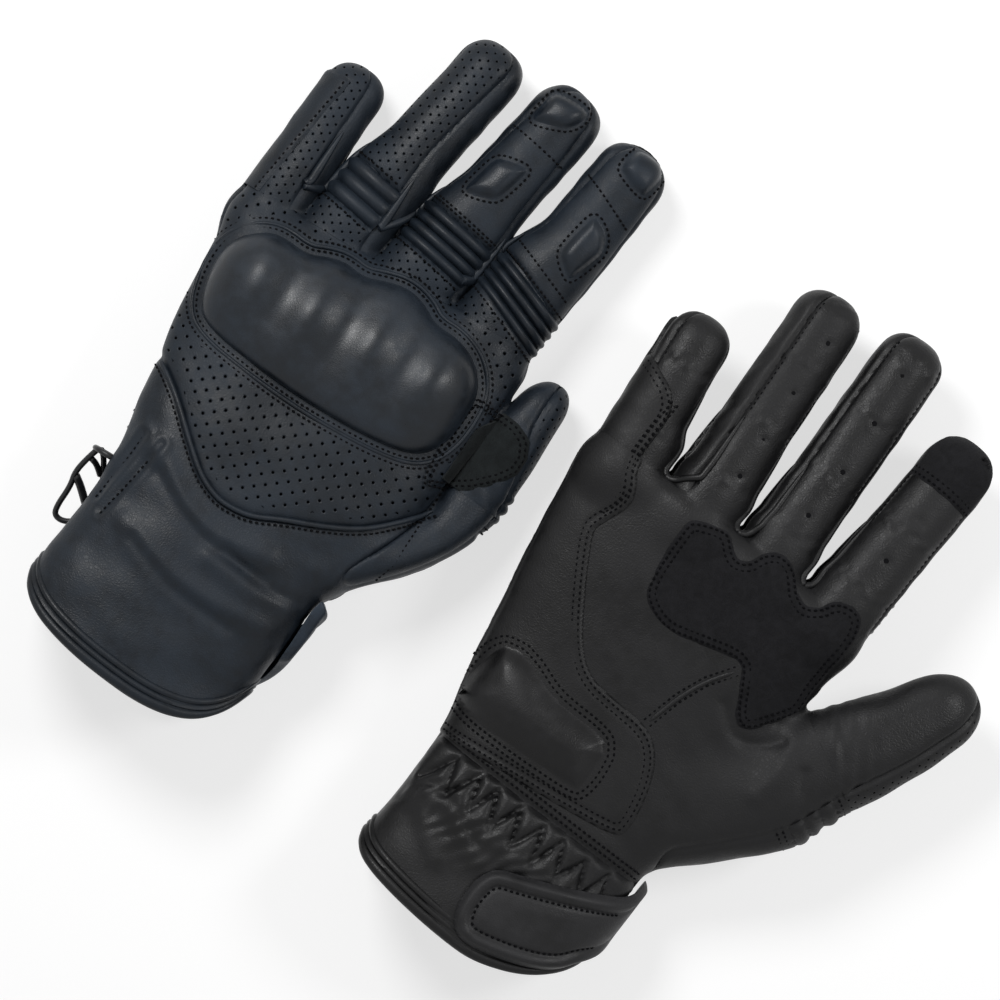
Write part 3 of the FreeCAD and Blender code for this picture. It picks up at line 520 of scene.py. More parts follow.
@dataclass(frozen=True)
class Digit:
    """A finger: a tapered tube with a blunt tip, and the extra width of its webs at the root."""

    name: str
    across: float
    rise: float
    splay: float
    lift: float
    long: float
    root: float
    tip: float
    web_low: float = 0.0
    web_high: float = 0.0
    web_reach: float = 46.0

    def axes(self) -> np.ndarray:
        """Give the finger's side, forward and up directions as rows.

        Returns:
            Three rows: aside, ahead and up.
        """
        turn, lift = math.radians(self.splay), math.radians(self.lift)
        side = (math.cos(turn), -math.sin(turn), 0.0)
        ahead = (math.sin(turn) * math.cos(lift), math.cos(turn) * math.cos(lift), math.sin(lift))
        return np.array([side, ahead, np.cross(side, ahead)])

    def local(self, points: np.ndarray, front: float) -> np.ndarray:
        """Read points as distances across, along and above the finger's axis."""
        return (points - np.array([self.across, front, self.rise])) @ self.axes().T

    def world(self, spots: np.ndarray, front: float) -> np.ndarray:
        """Turn distances across, along and above the axis back into points."""
        return spots @ self.axes() + np.array([self.across, front, self.rise])

    def radius(self, along: np.ndarray) -> np.ndarray:
        """Read the finger's half width at a place along it."""
        return self.root + (self.tip - self.root) * np.clip(along / self.long, 0, 1)

    def width(self, along: np.ndarray) -> tuple[np.ndarray, np.ndarray]:
        """Read how far the finger's middle is shifted by its webs, and its half width with them.

        Args:
            along: places along it.

        Returns:
            The shift and the half width.
        """
        share = 1 - smooth_step(self.web_reach * 0.55, self.web_reach, along)
        shift, more = (self.web_high - self.web_low) / 2, (self.web_high + self.web_low) / 2
        return shift * share, self.radius(along) + more * share

    def angle(self, spots: np.ndarray) -> np.ndarray:
        """Read the angle round the finger from its back, in degrees, growing towards the thumb."""
        shift, wide = self.width(spots[:, 1])
        return np.degrees(np.arctan2((spots[:, 0] - shift) / wide, spots[:, 2] / self.radius(spots[:, 1])))

    def distance(self, x: np.ndarray, y: np.ndarray, z: np.ndarray, front: float) -> np.ndarray:
        """Measure the distance to the finger's surface, negative inside it.

        Args:
            x: the points' first coordinates.
            y: their second coordinates.
            z: their third coordinates.
            front: where the fingers leave the hand.

        Returns:
            The distances.
        """
        spots = self.local(np.stack([x, y, z], -1).reshape(-1, 3), front)
        across, along, above = spots.T
        half = self.radius(along)
        shift, wide = self.width(along)
        across = np.abs(across - shift) / wide
        end = np.clip((along - (self.long - self.tip)) / self.tip, 0, None)
        tail = np.clip((-along - 6.0) / self.root, 0, None)
        round_about = (across ** 2.15 + np.abs(above / half) ** 2.15 + 1e-9) ** (2.5 / 2.15)
        total = (round_about + end ** 2.5 + tail ** 2.5) ** (1 / 2.5)
        return ((total - 1) * half).reshape(x.shape)


@dataclass(frozen=True)
class Thumb:
    """The thumb and the ball that carries it."""

    spot: tuple[float, float]
    aim: float
    stations: tuple[ThumbStation, ...]
    end: float
    blunt: float
    fuse: float

    def axes(self) -> np.ndarray:
        """Give the thumb's side, forward and up directions as rows."""
        turn = math.radians(self.aim)
        return np.array([(math.cos(turn), -math.sin(turn), 0), (math.sin(turn), math.cos(turn), 0),
                         (0, 0, 1.0)])

    def local(self, points: np.ndarray) -> np.ndarray:
        """Read points as distances across, along and above the thumb's line."""
        return (points - np.array([*self.spot, 0.0])) @ self.axes().T

    def section(self, along: np.ndarray) -> list[np.ndarray]:
        """Read the shift, height, half width and half height at a place along the thumb."""
        shift, rise, wide, tall = between(self.stations, along)
        return [shift, rise, wide / 2, tall / 2]

    def centred(self, points: np.ndarray) -> np.ndarray:
        """Read points as distances across, along and above the thumb's own middle.

        Args:
            points: points in the glove's millimetres.

        Returns:
            The distances.
        """
        spots = self.local(points)
        shift, rise, _, _ = self.section(spots[:, 1])
        return np.stack([spots[:, 0] - shift, spots[:, 1], spots[:, 2] - rise], 1)

    def distance(self, x: np.ndarray, y: np.ndarray, z: np.ndarray) -> np.ndarray:
        """Measure the distance to the thumb's surface, negative inside it.

        Args:
            x: the points' first coordinates.
            y: their second coordinates.
            z: their third coordinates.

        Returns:
            The distances.
        """
        spots = self.local(np.stack([x, y, z], -1).reshape(-1, 3))
        across, along, up = spots.T
        shift, rise, wide, tall = self.section(along)
        end = np.clip((along - (self.end - self.blunt)) / self.blunt, 0, None)
        tail = np.clip((self.stations[0].along + 4 - along) / 10.0, 0, None)
        aside, above = np.abs((across - shift) / wide), np.abs((up - rise) / tall)
        around = (aside ** 2.3 + above ** 2.3 + 1e-9) ** (2.4 / 2.3)
        total = (around + end ** 2.4 + tail ** 2.4) ** (1 / 2.4)
        return ((total - 1) * np.minimum(wide, tall)).reshape(x.shape)


@dataclass
class Form:
    """The whole outer form of one glove as a distance field, read as surfaces, heights and ways out."""

    trunk: Trunk
    digits: tuple[Digit, ...]
    thumb: Thumb
    low: tuple[float, float, float]
    high: tuple[float, float, float]
    step: float = 0.9
    values: np.ndarray = field(init=False, repr=False)
    heights: dict[Face, np.ndarray] = field(init=False, repr=False)

    def __post_init__(self) -> None:
        """Fill the distance field and read its upper and lower heights."""
        axes = [np.arange(a, b, self.step) for a, b in zip(self.low, self.high)]
        x, y, z = np.meshgrid(*axes, indexing="ij")
        values = self.trunk.distance(x, y, z)
        front = self.trunk.front
        for digit in self.digits:
            reach = abs(math.tan(math.radians(digit.splay))) * digit.long + digit.root + 12
            cut = (slice(*np.searchsorted(axes[0], (digit.across - reach, digit.across + reach))),
                   slice(np.searchsorted(axes[1], front - 30), None))
            part = [c[cut] for c in (x, y, z)]
            fillet = 1.3 + 4.2 * (1 - smooth_step(front - 4, front + 6, part[1]))
            values[cut] = melt(values[cut], digit.distance(*part, front), fillet)
        cut = (slice(np.searchsorted(axes[0], 15), None),
               slice(*np.searchsorted(axes[1], (self.thumb.spot[1] - 85, self.thumb.spot[1] + 75))))
        part = [c[cut] for c in (x, y, z)]
        sine, cosine, _ = self.thumb.axes()[1]
        ahead = part[1] * cosine + part[0] * sine
        joint = self.thumb.spot[1] * cosine + self.thumb.spot[0] * sine
        fillet = 1.2 + 5.8 * (1 - smooth_step(joint - 22, joint + self.thumb.fuse, ahead))
        values[cut] = melt(values[cut], self.thumb.distance(*part), fillet)
        self.values = values.astype(np.float32)
        inside = values < 0
        some = inside.any(axis=2)
        size = inside.shape[2]
        i, j = np.indices(some.shape)
        self.heights = {}
        tops, floors = size - 1 - np.argmax(inside[:, :, ::-1], axis=2), np.argmax(inside, axis=2)
        for face, last in ((Face.BACK, tops), (Face.PALM, floors)):
            last = np.clip(last, 1, size - 2)
            after = last + face.value
            a, b = values[i, j, last], values[i, j, after]
            height = self.low[2] + self.step * (last + face.value * a / np.where(a == b, 1, a - b))
            self.heights[face] = np.where(some, height, np.nan)

    def read(self, points: np.ndarray) -> np.ndarray:
        """Read the distance at any points.

        Args:
            points: the points.

        Returns:
            The readings, in that order.
        """
        spots = (points - np.array(self.low)) / self.step
        cell = np.clip(np.floor(spots).astype(int), 0, np.array(self.values.shape) - 2)
        t = np.clip(spots - cell, 0, 1)
        total = np.zeros(len(points))
        for corner in np.ndindex(2, 2, 2):
            share = np.prod(np.where(np.array(corner), t, 1 - t), axis=1)
            at = cell + np.array(corner)
            total += share * self.values[at[:, 0], at[:, 1], at[:, 2]]
        return total

    def outward(self, points: np.ndarray, reach: float = 1.3) -> np.ndarray:
        """Find the way out of the surface at any points.

        Args:
            points: points in the glove's millimetres.
            reach: how far to each side the field is read.

        Returns:
            The ways out.
        """
        steps = np.eye(3) * reach
        slope = np.stack([self.read(points + s) - self.read(points - s) for s in steps], axis=1)
        return unit(slope)

    def height(self, places: np.ndarray, face: Face) -> np.ndarray:
        """Read the height of one face over places in the plan; nan where there is no glove.

        Args:
            places: places in the plan.
            face: which face.

        Returns:
            The heights.
        """
        spots = (places - np.array(self.low[:2])) / self.step
        chart = self.heights[face]
        cell = np.clip(np.floor(spots).astype(int), 0, np.array(chart.shape) - 2)
        t = np.clip(spots - cell, 0, 1)
        i, j = cell.T
        a = chart[i, j] * (1 - t[:, 0]) + chart[i + 1, j] * t[:, 0]
        b = chart[i, j + 1] * (1 - t[:, 0]) + chart[i + 1, j + 1] * t[:, 0]
        return a * (1 - t[:, 1]) + b * t[:, 1]

    def cast(self, start: np.ndarray, way: np.ndarray, reach: float) -> tuple[np.ndarray, np.ndarray]:
        """Go from inside the glove to its surface.

        Args:
            start: points inside.
            way: the direction to go from each, of length one.
            reach: how far to look.

        Returns:
            The points on the surface, and whether each was found.
        """
        before = self.read(start)
        hit, found = start.copy(), np.zeros(len(start), bool)
        for far in np.arange(0.5, reach, 0.5):
            after = self.read(start + way * far)
            new = (before <= 0) & (after > 0) & ~found
            share = before / np.where(before == after, 1, before - after)
            hit[new] = (start + way * (far - 0.5 + 0.5 * share)[:, None])[new]
            found |= new
            before = after
        return hit, found

    def skin(self) -> Sheet:
        """Mesh the whole surface.

        Returns:
            The surface as a sheet.
        """
        points, faces = meshed(self.values, self.step, np.array(self.low))
        for _ in range(2):
            points = points - self.outward(points, 0.9) * self.read(points)[:, None]
        normals = self.outward(points)
        a, b, c = (points[faces[:, k]] for k in range(3))
        facing = np.einsum("ij,ij->i", np.cross(b - a, c - a), normals[faces[:, 0]])
        if facing.mean() < 0:
            faces = faces[:, ::-1]
        return Sheet(points, normals, faces)

    def draped(self, outline: np.ndarray, face: Face, spacing: float) -> Sheet:
        """Lay a fine net over one face inside an outline.

        Args:
            outline: the closed outline in the plan.
            face: which face it lies on.
            spacing: the size of the net's mesh.

        Returns:
            The net, cut to the outline.
        """
        places, size = net_over(outline, spacing)
        tall = self.height(places, face)
        keep = np.where(np.isnan(tall), -1.0, inside_distance(places, outline))
        points = np.column_stack([places, np.nan_to_num(tall, nan=0.0)])
        faces = net_faces(*size, under=face is Face.PALM)
        return Sheet(points, self.outward(points), faces).trimmed(keep)


# ---------------------------------------------------------------- finishes

@dataclass(frozen=True)
class Wiring:
    """A node tree, with the few things that the finishes and the studio do in one."""

    tree: bpy.types.NodeTree

    @staticmethod
    def group(name: str, inputs: dict[str, object], outputs: Sequence[str]) -> "Wiring":
        """Start a shader node group with named sockets.

        Args:
            name: the group's name.
            inputs: each input's default: a number, three numbers, or nothing for a place.
            outputs: the names of its outputs, all numbers.

        Returns:
            The group's wiring, with its input and output nodes placed.
        """
        group = bpy.data.node_groups.new(name, "ShaderNodeTree")
        for label, default in inputs.items():
            kind = "NodeSocketFloat" if isinstance(default, float) else "NodeSocketVector"
            socket = group.interface.new_socket(label, in_out="INPUT", socket_type=kind)
            if default is not None:
                socket.default_value = default
        for label in outputs:
            group.interface.new_socket(label, in_out="OUTPUT", socket_type="NodeSocketFloat")
        group.nodes.new("NodeGroupInput").name = "In"
        group.nodes.new("NodeGroupOutput").name = "Out"
        return Wiring(group)

    def given(self, label: str) -> bpy.types.NodeSocket:
        """Give one of the group's inputs."""
        return self.tree.nodes["In"].outputs[label]

    def give(self, value: bpy.types.NodeSocket, label: str) -> None:
        """Send a value out of the group."""
        self.tree.links.new(value, self.tree.nodes["Out"].inputs[label])

    def link(self, value: bpy.types.NodeSocket, socket: bpy.types.NodeSocket) -> None:
        """Send a value into another node."""
        self.tree.links.new(value, socket)

    def node(self, kind: str, feeds: dict[int | str, object] | None = None,
             **settings: object) -> bpy.types.Node:
        """Add a node.

        Args:
            kind: its type, without the first word.
            feeds: what goes into its inputs, a value or another node's output.
            settings: its own properties.

        Returns:
            The new node.
        """
        made = self.tree.nodes.new(f"ShaderNode{kind}")
        for key, value in settings.items():
            setattr(made, key, value)
        for key, value in (feeds or {}).items():
            if isinstance(value, bpy.types.NodeSocket):
                self.link(value, made.inputs[key])
            else:
                made.inputs[key].default_value = value
        return made

    def sums(self, operation: str, *values: object, clamp: bool = False) -> bpy.types.NodeSocket:
        """Do one sum on numbers and give its result."""
        return self.node("Math", dict(enumerate(values)), operation=operation, use_clamp=clamp).outputs[0]

    def times(self, a: object, b: object, clamp: bool = False) -> bpy.types.NodeSocket:
        """Multiply two numbers."""
        return self.sums("MULTIPLY", a, b, clamp=clamp)

    def plus(self, a: object, b: object, clamp: bool = False) -> bpy.types.NodeSocket:
        """Add two numbers."""
        return self.sums("ADD", a, b, clamp=clamp)

    def vector(self, operation: str, *values: object) -> bpy.types.Node:
        """Do one sum on places."""
        return self.node("VectorMath", dict(enumerate(values)), operation=operation)

    def shared(self, effect: str, feeds: dict[str, object]) -> bpy.types.Node:
        """Use one of the shared effects."""
        return self.node("Group", feeds, node_tree=Effects.get(effect))

    def attribute(self, label: str) -> bpy.types.Node:
        """Read what the mesh says at each point."""
        return self.node("Attribute", attribute_name=label)

    def bump(self, surface: bpy.types.Node, height: bpy.types.NodeSocket, depth: float,
             strength: float) -> None:
        """Raise a surface's fine texture by a height, with a depth in metres."""
        made = self.node("Bump", {"Height": height, "Distance": depth, "Strength": strength})
        self.link(made.outputs["Normal"], surface.inputs["Normal"])

    def ramp(self, value: object, low: float, high: float, start: float = 0.0,
             end: float = 1.0) -> bpy.types.NodeSocket:
        """Map a value smoothly from one range to another."""
        feeds = {"Value": value, "From Min": low, "From Max": high, "To Min": start, "To Max": end}
        return self.node("MapRange", feeds, interpolation_type="SMOOTHSTEP").outputs["Result"]

    def blended(self, share: object, a: object, b: object) -> bpy.types.NodeSocket:
        """Mix two colours.

        Args:
            share: how much of the second, from 0 to 1.
            a: the first colour.
            b: the second colour.

        Returns:
            The mixed colour.
        """
        made = self.node("Mix", data_type="RGBA")
        for key, value in (("Factor_Float", share), ("A_Color", a), ("B_Color", b)):
            socket = next(s for s in made.inputs if s.identifier == key)
            if isinstance(value, bpy.types.NodeSocket):
                self.link(value, socket)
            else:
                socket.default_value = value
        return next(s for s in made.outputs if s.identifier == "Result_Color")

    def seen(self) -> bpy.types.NodeSocket:
        """Tell whether the camera sees something, straight or in a mirror or through glass.

        Returns:
            A number that is 1 where it does.
        """
        path = self.node("LightPath")
        both = self.sums("MAXIMUM", path.outputs["Is Camera Ray"], path.outputs["Is Glossy Ray"])
        return self.sums("MAXIMUM", both, path.outputs["Is Transmission Ray"])


class Effects:
    """The surface effects that several finishes share, each a node group built once."""

    _made: dict[str, bpy.types.NodeTree] = {}

    @classmethod
    def get(cls, name: str) -> bpy.types.NodeTree:
        """Give an effect's node group, building it at its first use.

        Args:
            name: its name.

        Returns:
            The group.
        """
        if name not in cls._made:
            cls._made[name] = getattr(cls, name)()
        return cls._made[name]

    @staticmethod
    def grain() -> bpy.types.NodeTree:
        """Leather grain: small pebbles parted by fine creases, with a few longer wrinkles; the leather paints
        shade into them through the Crease output.

        Returns:
            The group.
        """
        net = Wiring.group("LeatherGrain", {"Place": None, "Size": 1.0, "Wrinkle": 0.3}, ("Height", "Crease"))
        scale = net.sums("DIVIDE", 1.0, net.given("Size"))
        bent = net.node("TexNoise", {"Vector": net.given("Place"), "Scale": 0.35, "Detail": 2.0})
        shifted = net.vector("MULTIPLY", bent.outputs["Color"], (2.2, 2.2, 2.2))
        place = net.vector("ADD", net.given("Place"), shifted.outputs[0])
        cells = net.node("TexVoronoi", {"Vector": place.outputs[0], "Scale": scale},
                         feature="DISTANCE_TO_EDGE")
        pebble = net.ramp(cells.outputs["Distance"], 0.0, 0.32)
        fine = net.node("TexNoise", {"Vector": place.outputs[0], "Scale": net.times(scale, 2.6),
                                     "Detail": 3.0})
        long = net.node("TexVoronoi", {"Vector": place.outputs[0], "Scale": net.times(scale, 0.16)},
                    feature="DISTANCE_TO_EDGE")
        wrinkle = net.times(net.ramp(long.outputs["Distance"], 0.0, 0.07, 1.0, 0.0), net.given("Wrinkle"))
        height = net.plus(net.times(pebble, 0.7), net.times(fine.outputs["Fac"], 0.5))
        height = net.sums("SUBTRACT", height, wrinkle)
        crease = net.sums("SUBTRACT", 1.0, pebble)
        net.give(height, "Height")
        net.give(net.sums("MAXIMUM", net.times(crease, 0.6), wrinkle, clamp=True), "Crease")
        return net.tree

    @staticmethod
    def tone() -> bpy.types.NodeTree:
        """Slow changes of shade over a hide, from handling and dyeing.

        Returns:
            The group.
        """
        net = Wiring.group("HideTone", {"Place": None, "Broad": 0.03, "Fine": 0.25}, ("Tone",))
        broad = net.node("TexNoise", {"Vector": net.given("Place"), "Scale": net.given("Broad"),
                                      "Detail": 3.0})
        fine = net.node("TexNoise", {"Vector": net.given("Place"), "Scale": net.given("Fine"), "Detail": 4.0})
        mixed = net.plus(net.times(broad.outputs["Fac"], 0.65), net.times(fine.outputs["Fac"], 0.35))
        net.give(net.ramp(mixed, 0.34, 0.66), "Tone")
        return net.tree

    @staticmethod
    def wear() -> bpy.types.NodeTree:
        """Edges rubbed paler, broken up by a little noise.

        Returns:
            The group.
        """
        net = Wiring.group("EdgeWear", {"Place": None, "Edge": 9.0, "Reach": 1.2}, ("Worn",))
        rough = net.node("TexNoise", {"Vector": net.given("Place"), "Scale": 0.9, "Detail": 3.0})
        near = net.sums("SUBTRACT", 1.0, net.sums("DIVIDE", net.given("Edge"), net.given("Reach")),
                        clamp=True)
        worn = net.times(near, net.ramp(rough.outputs["Fac"], 0.35, 0.7), clamp=True)
        net.give(worn, "Worn")
        return net.tree

    @staticmethod
    def holes() -> bpy.types.NodeTree:
        """Punched holes on a staggered lattice; the Hole mask is where the leather paints shade into each
        hole.

        Returns:
            The group.
        """
        net = Wiring.group("PunchedHoles", {"Place": None, "Pitch": (6.2, 4.9, 1.0), "Radius": 0.55,
                                            "Field": 1.0}, ("Hole", "Height"))
        half = net.vector("MULTIPLY", net.given("Pitch"), (0.5, 0.5, 0.0)).outputs[0]
        minus = net.vector("MULTIPLY", half, (-1.0, -1.0, 1.0)).outputs[0]
        flat = net.vector("MULTIPLY", net.given("Place"), (1.0, 1.0, 0.0)).outputs[0]
        reach = []
        for shift in (False, True):
            at = net.vector("ADD", flat, half).outputs[0] if shift else flat
            wrapped = net.vector("WRAP", at, half, minus).outputs[0]
            clean = net.vector("MULTIPLY", wrapped, (1.0, 1.0, 0.0)).outputs[0]
            reach.append(net.vector("LENGTH", clean).outputs["Value"])
        near = net.sums("DIVIDE", net.sums("MINIMUM", *reach), net.given("Radius"))
        hole = net.times(net.ramp(near, 0.8, 1.15, 1.0, 0.0), net.given("Field"))
        dish = net.times(net.ramp(near, 0.6, 1.7, 1.0, 0.0), net.given("Field"))
        net.give(hole, "Hole")
        net.give(net.times(dish, -1.0), "Height")
        return net.tree

    @staticmethod
    def nap() -> bpy.types.NodeTree:
        """Brushed suede: a short pile with strokes lying different ways.

        Returns:
            The group.
        """
        net = Wiring.group("SuedeNap", {"Place": None, "Pile": 2.6}, ("Height", "Shade"))
        pile = net.node("TexNoise", {"Vector": net.given("Place"), "Scale": net.given("Pile"), "Detail": 6.0,
                                                 "Roughness": 0.75})
        strokes = net.node("TexNoise", {"Vector": net.given("Place"), "Scale": 0.22, "Detail": 5.0,
                                        "Distortion": 1.2})
        shade = net.plus(net.times(pile.outputs["Fac"], 0.65), net.times(strokes.outputs["Fac"], 0.35))
        net.give(pile.outputs["Fac"], "Height")
        net.give(net.ramp(shade, 0.32, 0.68), "Shade")
        return net.tree

    @staticmethod
    def weave() -> bpy.types.NodeTree:
        """The rows of small hooks or loops on touch tape.

        Returns:
            The group.
        """
        net = Wiring.group("TapeWeave", {"Place": None, "Pitch": 1.0}, ("Height",))
        turns = net.node("VectorMath", {0: net.given("Place"), "Scale": 1.0}, operation="SCALE")
        net.link(net.sums("DIVIDE", 6.2832, net.given("Pitch")), turns.inputs["Scale"])
        parts = net.node("SeparateXYZ", {0: turns.outputs[0]})
        rows = [net.sums("SINE", parts.outputs[k]) for k in range(2)]
        fuzz = net.node("TexNoise", {"Vector": net.given("Place"), "Scale": 3.0, "Detail": 3.0})
        height = net.plus(net.times(*rows), fuzz.outputs["Fac"])
        net.give(height, "Height")
        return net.tree


def shade(red: int, green: int, blue: int) -> tuple[float, float, float, float]:
    """Turn a colour as it is seen on a screen into the light it gives back."""
    parts = [value / 255 for value in (red, green, blue)]
    return (*(p / 12.92 if p <= 0.04045 else ((p + 0.055) / 1.055) ** 2.4 for p in parts), 1.0)


def scaled(colour: tuple[float, ...], share: float) -> tuple[float, float, float, float]:
    """Make a colour darker or paler by a share."""
    return (*(min(1.0, c * share) for c in colour[:3]), 1.0)


@dataclass(frozen=True)
class Leather:
    """Dyed cowhide: its colour, gloss and grain, in millimetres."""

    name: str
    slot: str
    colour: tuple[float, float, float, float]
    roughness: float = 0.5
    grain: float = 1.1
    depth: float = 0.35
    wrinkle: float = 0.3
    worn: float = 1.5
    specular: float = 0.21
    punched: float = 0.0

    def fill(self, net: Wiring, surface: bpy.types.Node) -> None:
        """Wire the leather's grain, tone, wear and holes into its surface, with painted shade in the grain's
        creases and in the holes.

        Args:
            net: the material's wiring.
            surface: the surface to wire.
        """
        place = net.attribute("rest").outputs["Vector"]
        edge = net.attribute("edge").outputs["Fac"]
        grain = net.shared("grain", {"Place": place, "Size": self.grain, "Wrinkle": self.wrinkle})
        tone = net.shared("tone", {"Place": place})
        wear = net.shared("wear", {"Place": place, "Edge": edge})
        colour = net.blended(tone.outputs["Tone"], scaled(self.colour, 0.62), scaled(self.colour, 1.5))
        # Darker in the grain's creases and wrinkles: painted shade.
        colour = net.blended(net.times(grain.outputs["Crease"], 0.35), colour, scaled(self.colour, 0.6))
        colour = net.blended(net.times(wear.outputs["Worn"], 0.55), colour, scaled(self.colour, self.worn))
        rough = net.plus(self.roughness, net.times(net.sums("SUBTRACT", tone.outputs["Tone"], 0.5), 0.2))
        rough = net.plus(rough, net.times(grain.outputs["Crease"], 0.12))
        height = net.times(grain.outputs["Height"], self.depth)
        if self.punched:
            pattern = net.attribute("pattern").outputs["Vector"]
            fieldmap = net.attribute("holes").outputs["Fac"]
            holes = net.shared("holes", {"Place": pattern, "Field": net.ramp(fieldmap, 0.45, 0.55)})
            holes.inputs["Radius"].default_value = self.punched
            # Painted shade: each hole is near-black, standing for the unlit inside of a hole that the mesh
            # does not cut.
            colour = net.blended(holes.outputs["Hole"], colour, scaled(self.colour, 0.03))
            rough = net.plus(rough, net.times(holes.outputs["Hole"], 0.4), clamp=True)
            height = net.plus(height, net.times(holes.outputs["Height"], 1.6))
            # Metallic on that near-black colour takes the gloss out of the holes: painted shade.
            net.link(holes.outputs["Hole"], surface.inputs["Metallic"])
        net.link(colour, surface.inputs["Base Color"])
        net.link(rough, surface.inputs["Roughness"])
        net.bump(surface, height, 0.00016, 0.9)
        surface.inputs["Specular IOR Level"].default_value = self.specular


@dataclass(frozen=True)
class Suede:
    """Split hide with a brushed nap."""

    name: str
    slot: str
    colour: tuple[float, float, float, float]

    def fill(self, net: Wiring, surface: bpy.types.Node) -> None:
        """Wire the nap's shade and pile into its surface.

        Args:
            net: the material's wiring.
            surface: the surface to wire.
        """
        place = net.attribute("rest").outputs["Vector"]
        nap = net.shared("nap", {"Place": place})
        colour = net.blended(nap.outputs["Shade"], scaled(self.colour, 0.5), scaled(self.colour, 1.55))
        net.link(colour, surface.inputs["Base Color"])
        net.link(net.ramp(nap.outputs["Shade"], 0.0, 1.0, 0.82, 0.96), surface.inputs["Roughness"])
        net.bump(surface, nap.outputs["Height"], 0.00025, 0.8)
        surface.inputs["Sheen Weight"].default_value = 0.03
        surface.inputs["Sheen Roughness"].default_value = 0.6
        surface.inputs["Specular IOR Level"].default_value = 0.08


@dataclass(frozen=True)
class TouchTape:
    """Hook or loop tape."""

    name: str
    slot: str
    colour: tuple[float, float, float, float]
    pitch: float

    def fill(self, net: Wiring, surface: bpy.types.Node) -> None:
        """Wire the rows of hooks or loops into the tape's surface, with painted shade in their hollows and
        painted light on their tops.

        Args:
            net: the material's wiring.
            surface: the surface to wire.
        """
        place = net.attribute("pattern").outputs["Vector"]
        weave = net.shared("weave", {"Place": place, "Pitch": self.pitch})
        share = net.ramp(weave.outputs["Height"], -0.4, 1.4)
        # Darker in the weave's hollows and paler on its tops: painted shade and painted light.
        net.link(net.blended(share, scaled(self.colour, 0.4), scaled(self.colour, 1.5)),
                 surface.inputs["Base Color"])
        net.link(net.ramp(share, 0.0, 1.0, 0.95, 0.75), surface.inputs["Roughness"])
        net.bump(surface, weave.outputs["Height"], 0.0003, 1.0)


@dataclass(frozen=True)
class Plastic:
    """Moulded plastic or thread with a soft gloss."""

    name: str
    slot: str
    colour: tuple[float, float, float, float]
    roughness: float = 0.35
    specular: float = 0.3

    def fill(self, net: Wiring, surface: bpy.types.Node) -> None:
        """Wire a little handling wear and moulding texture into the surface.

        Args:
            net: the material's wiring.
            surface: the surface to wire.
        """
        place = net.node("TexCoord").outputs["Object"]
        spread = net.node("VectorMath", {0: place, "Scale": 1000.0}, operation="SCALE").outputs[0]
        tone = net.shared("tone", {"Place": spread, "Broad": 0.15, "Fine": 0.9})
        colour = net.blended(tone.outputs["Tone"], scaled(self.colour, 0.8), scaled(self.colour, 1.25))
        net.link(colour, surface.inputs["Base Color"])
        net.link(net.ramp(tone.outputs["Tone"], 0.0, 1.0, self.roughness - 0.06, self.roughness + 0.1),
                 surface.inputs["Roughness"])
        net.bump(surface, tone.outputs["Tone"], 0.0001, 0.4)
        surface.inputs["Specular IOR Level"].default_value = self.specular


Finish = Leather | Suede | TouchTape | Plastic


def dressed(finish: Finish) -> bpy.types.Material:
    """Make a finish's material, once.

    Args:
        finish: its finish.

    Returns:
        The material.
    """
    if finish.name in bpy.data.materials:
        return bpy.data.materials[finish.name]
    material = bpy.data.materials.new(finish.name)
    material.use_nodes = True
    finish.fill(Wiring(material.node_tree), material.node_tree.nodes["Principled BSDF"])
    return material


@dataclass(frozen=True)
class Wardrobe:
    """One glove's finishes."""

    smooth: Leather
    punched: Leather
    guard: Leather
    palm: Leather
    overlay: Leather
    binding: Leather
    flex: Leather
    pad: Leather
    strap: Leather
    gusset: Leather
    suede: Suede
    loop: TouchTape
    hook: TouchTape
    thread: Plastic
    clip: Plastic


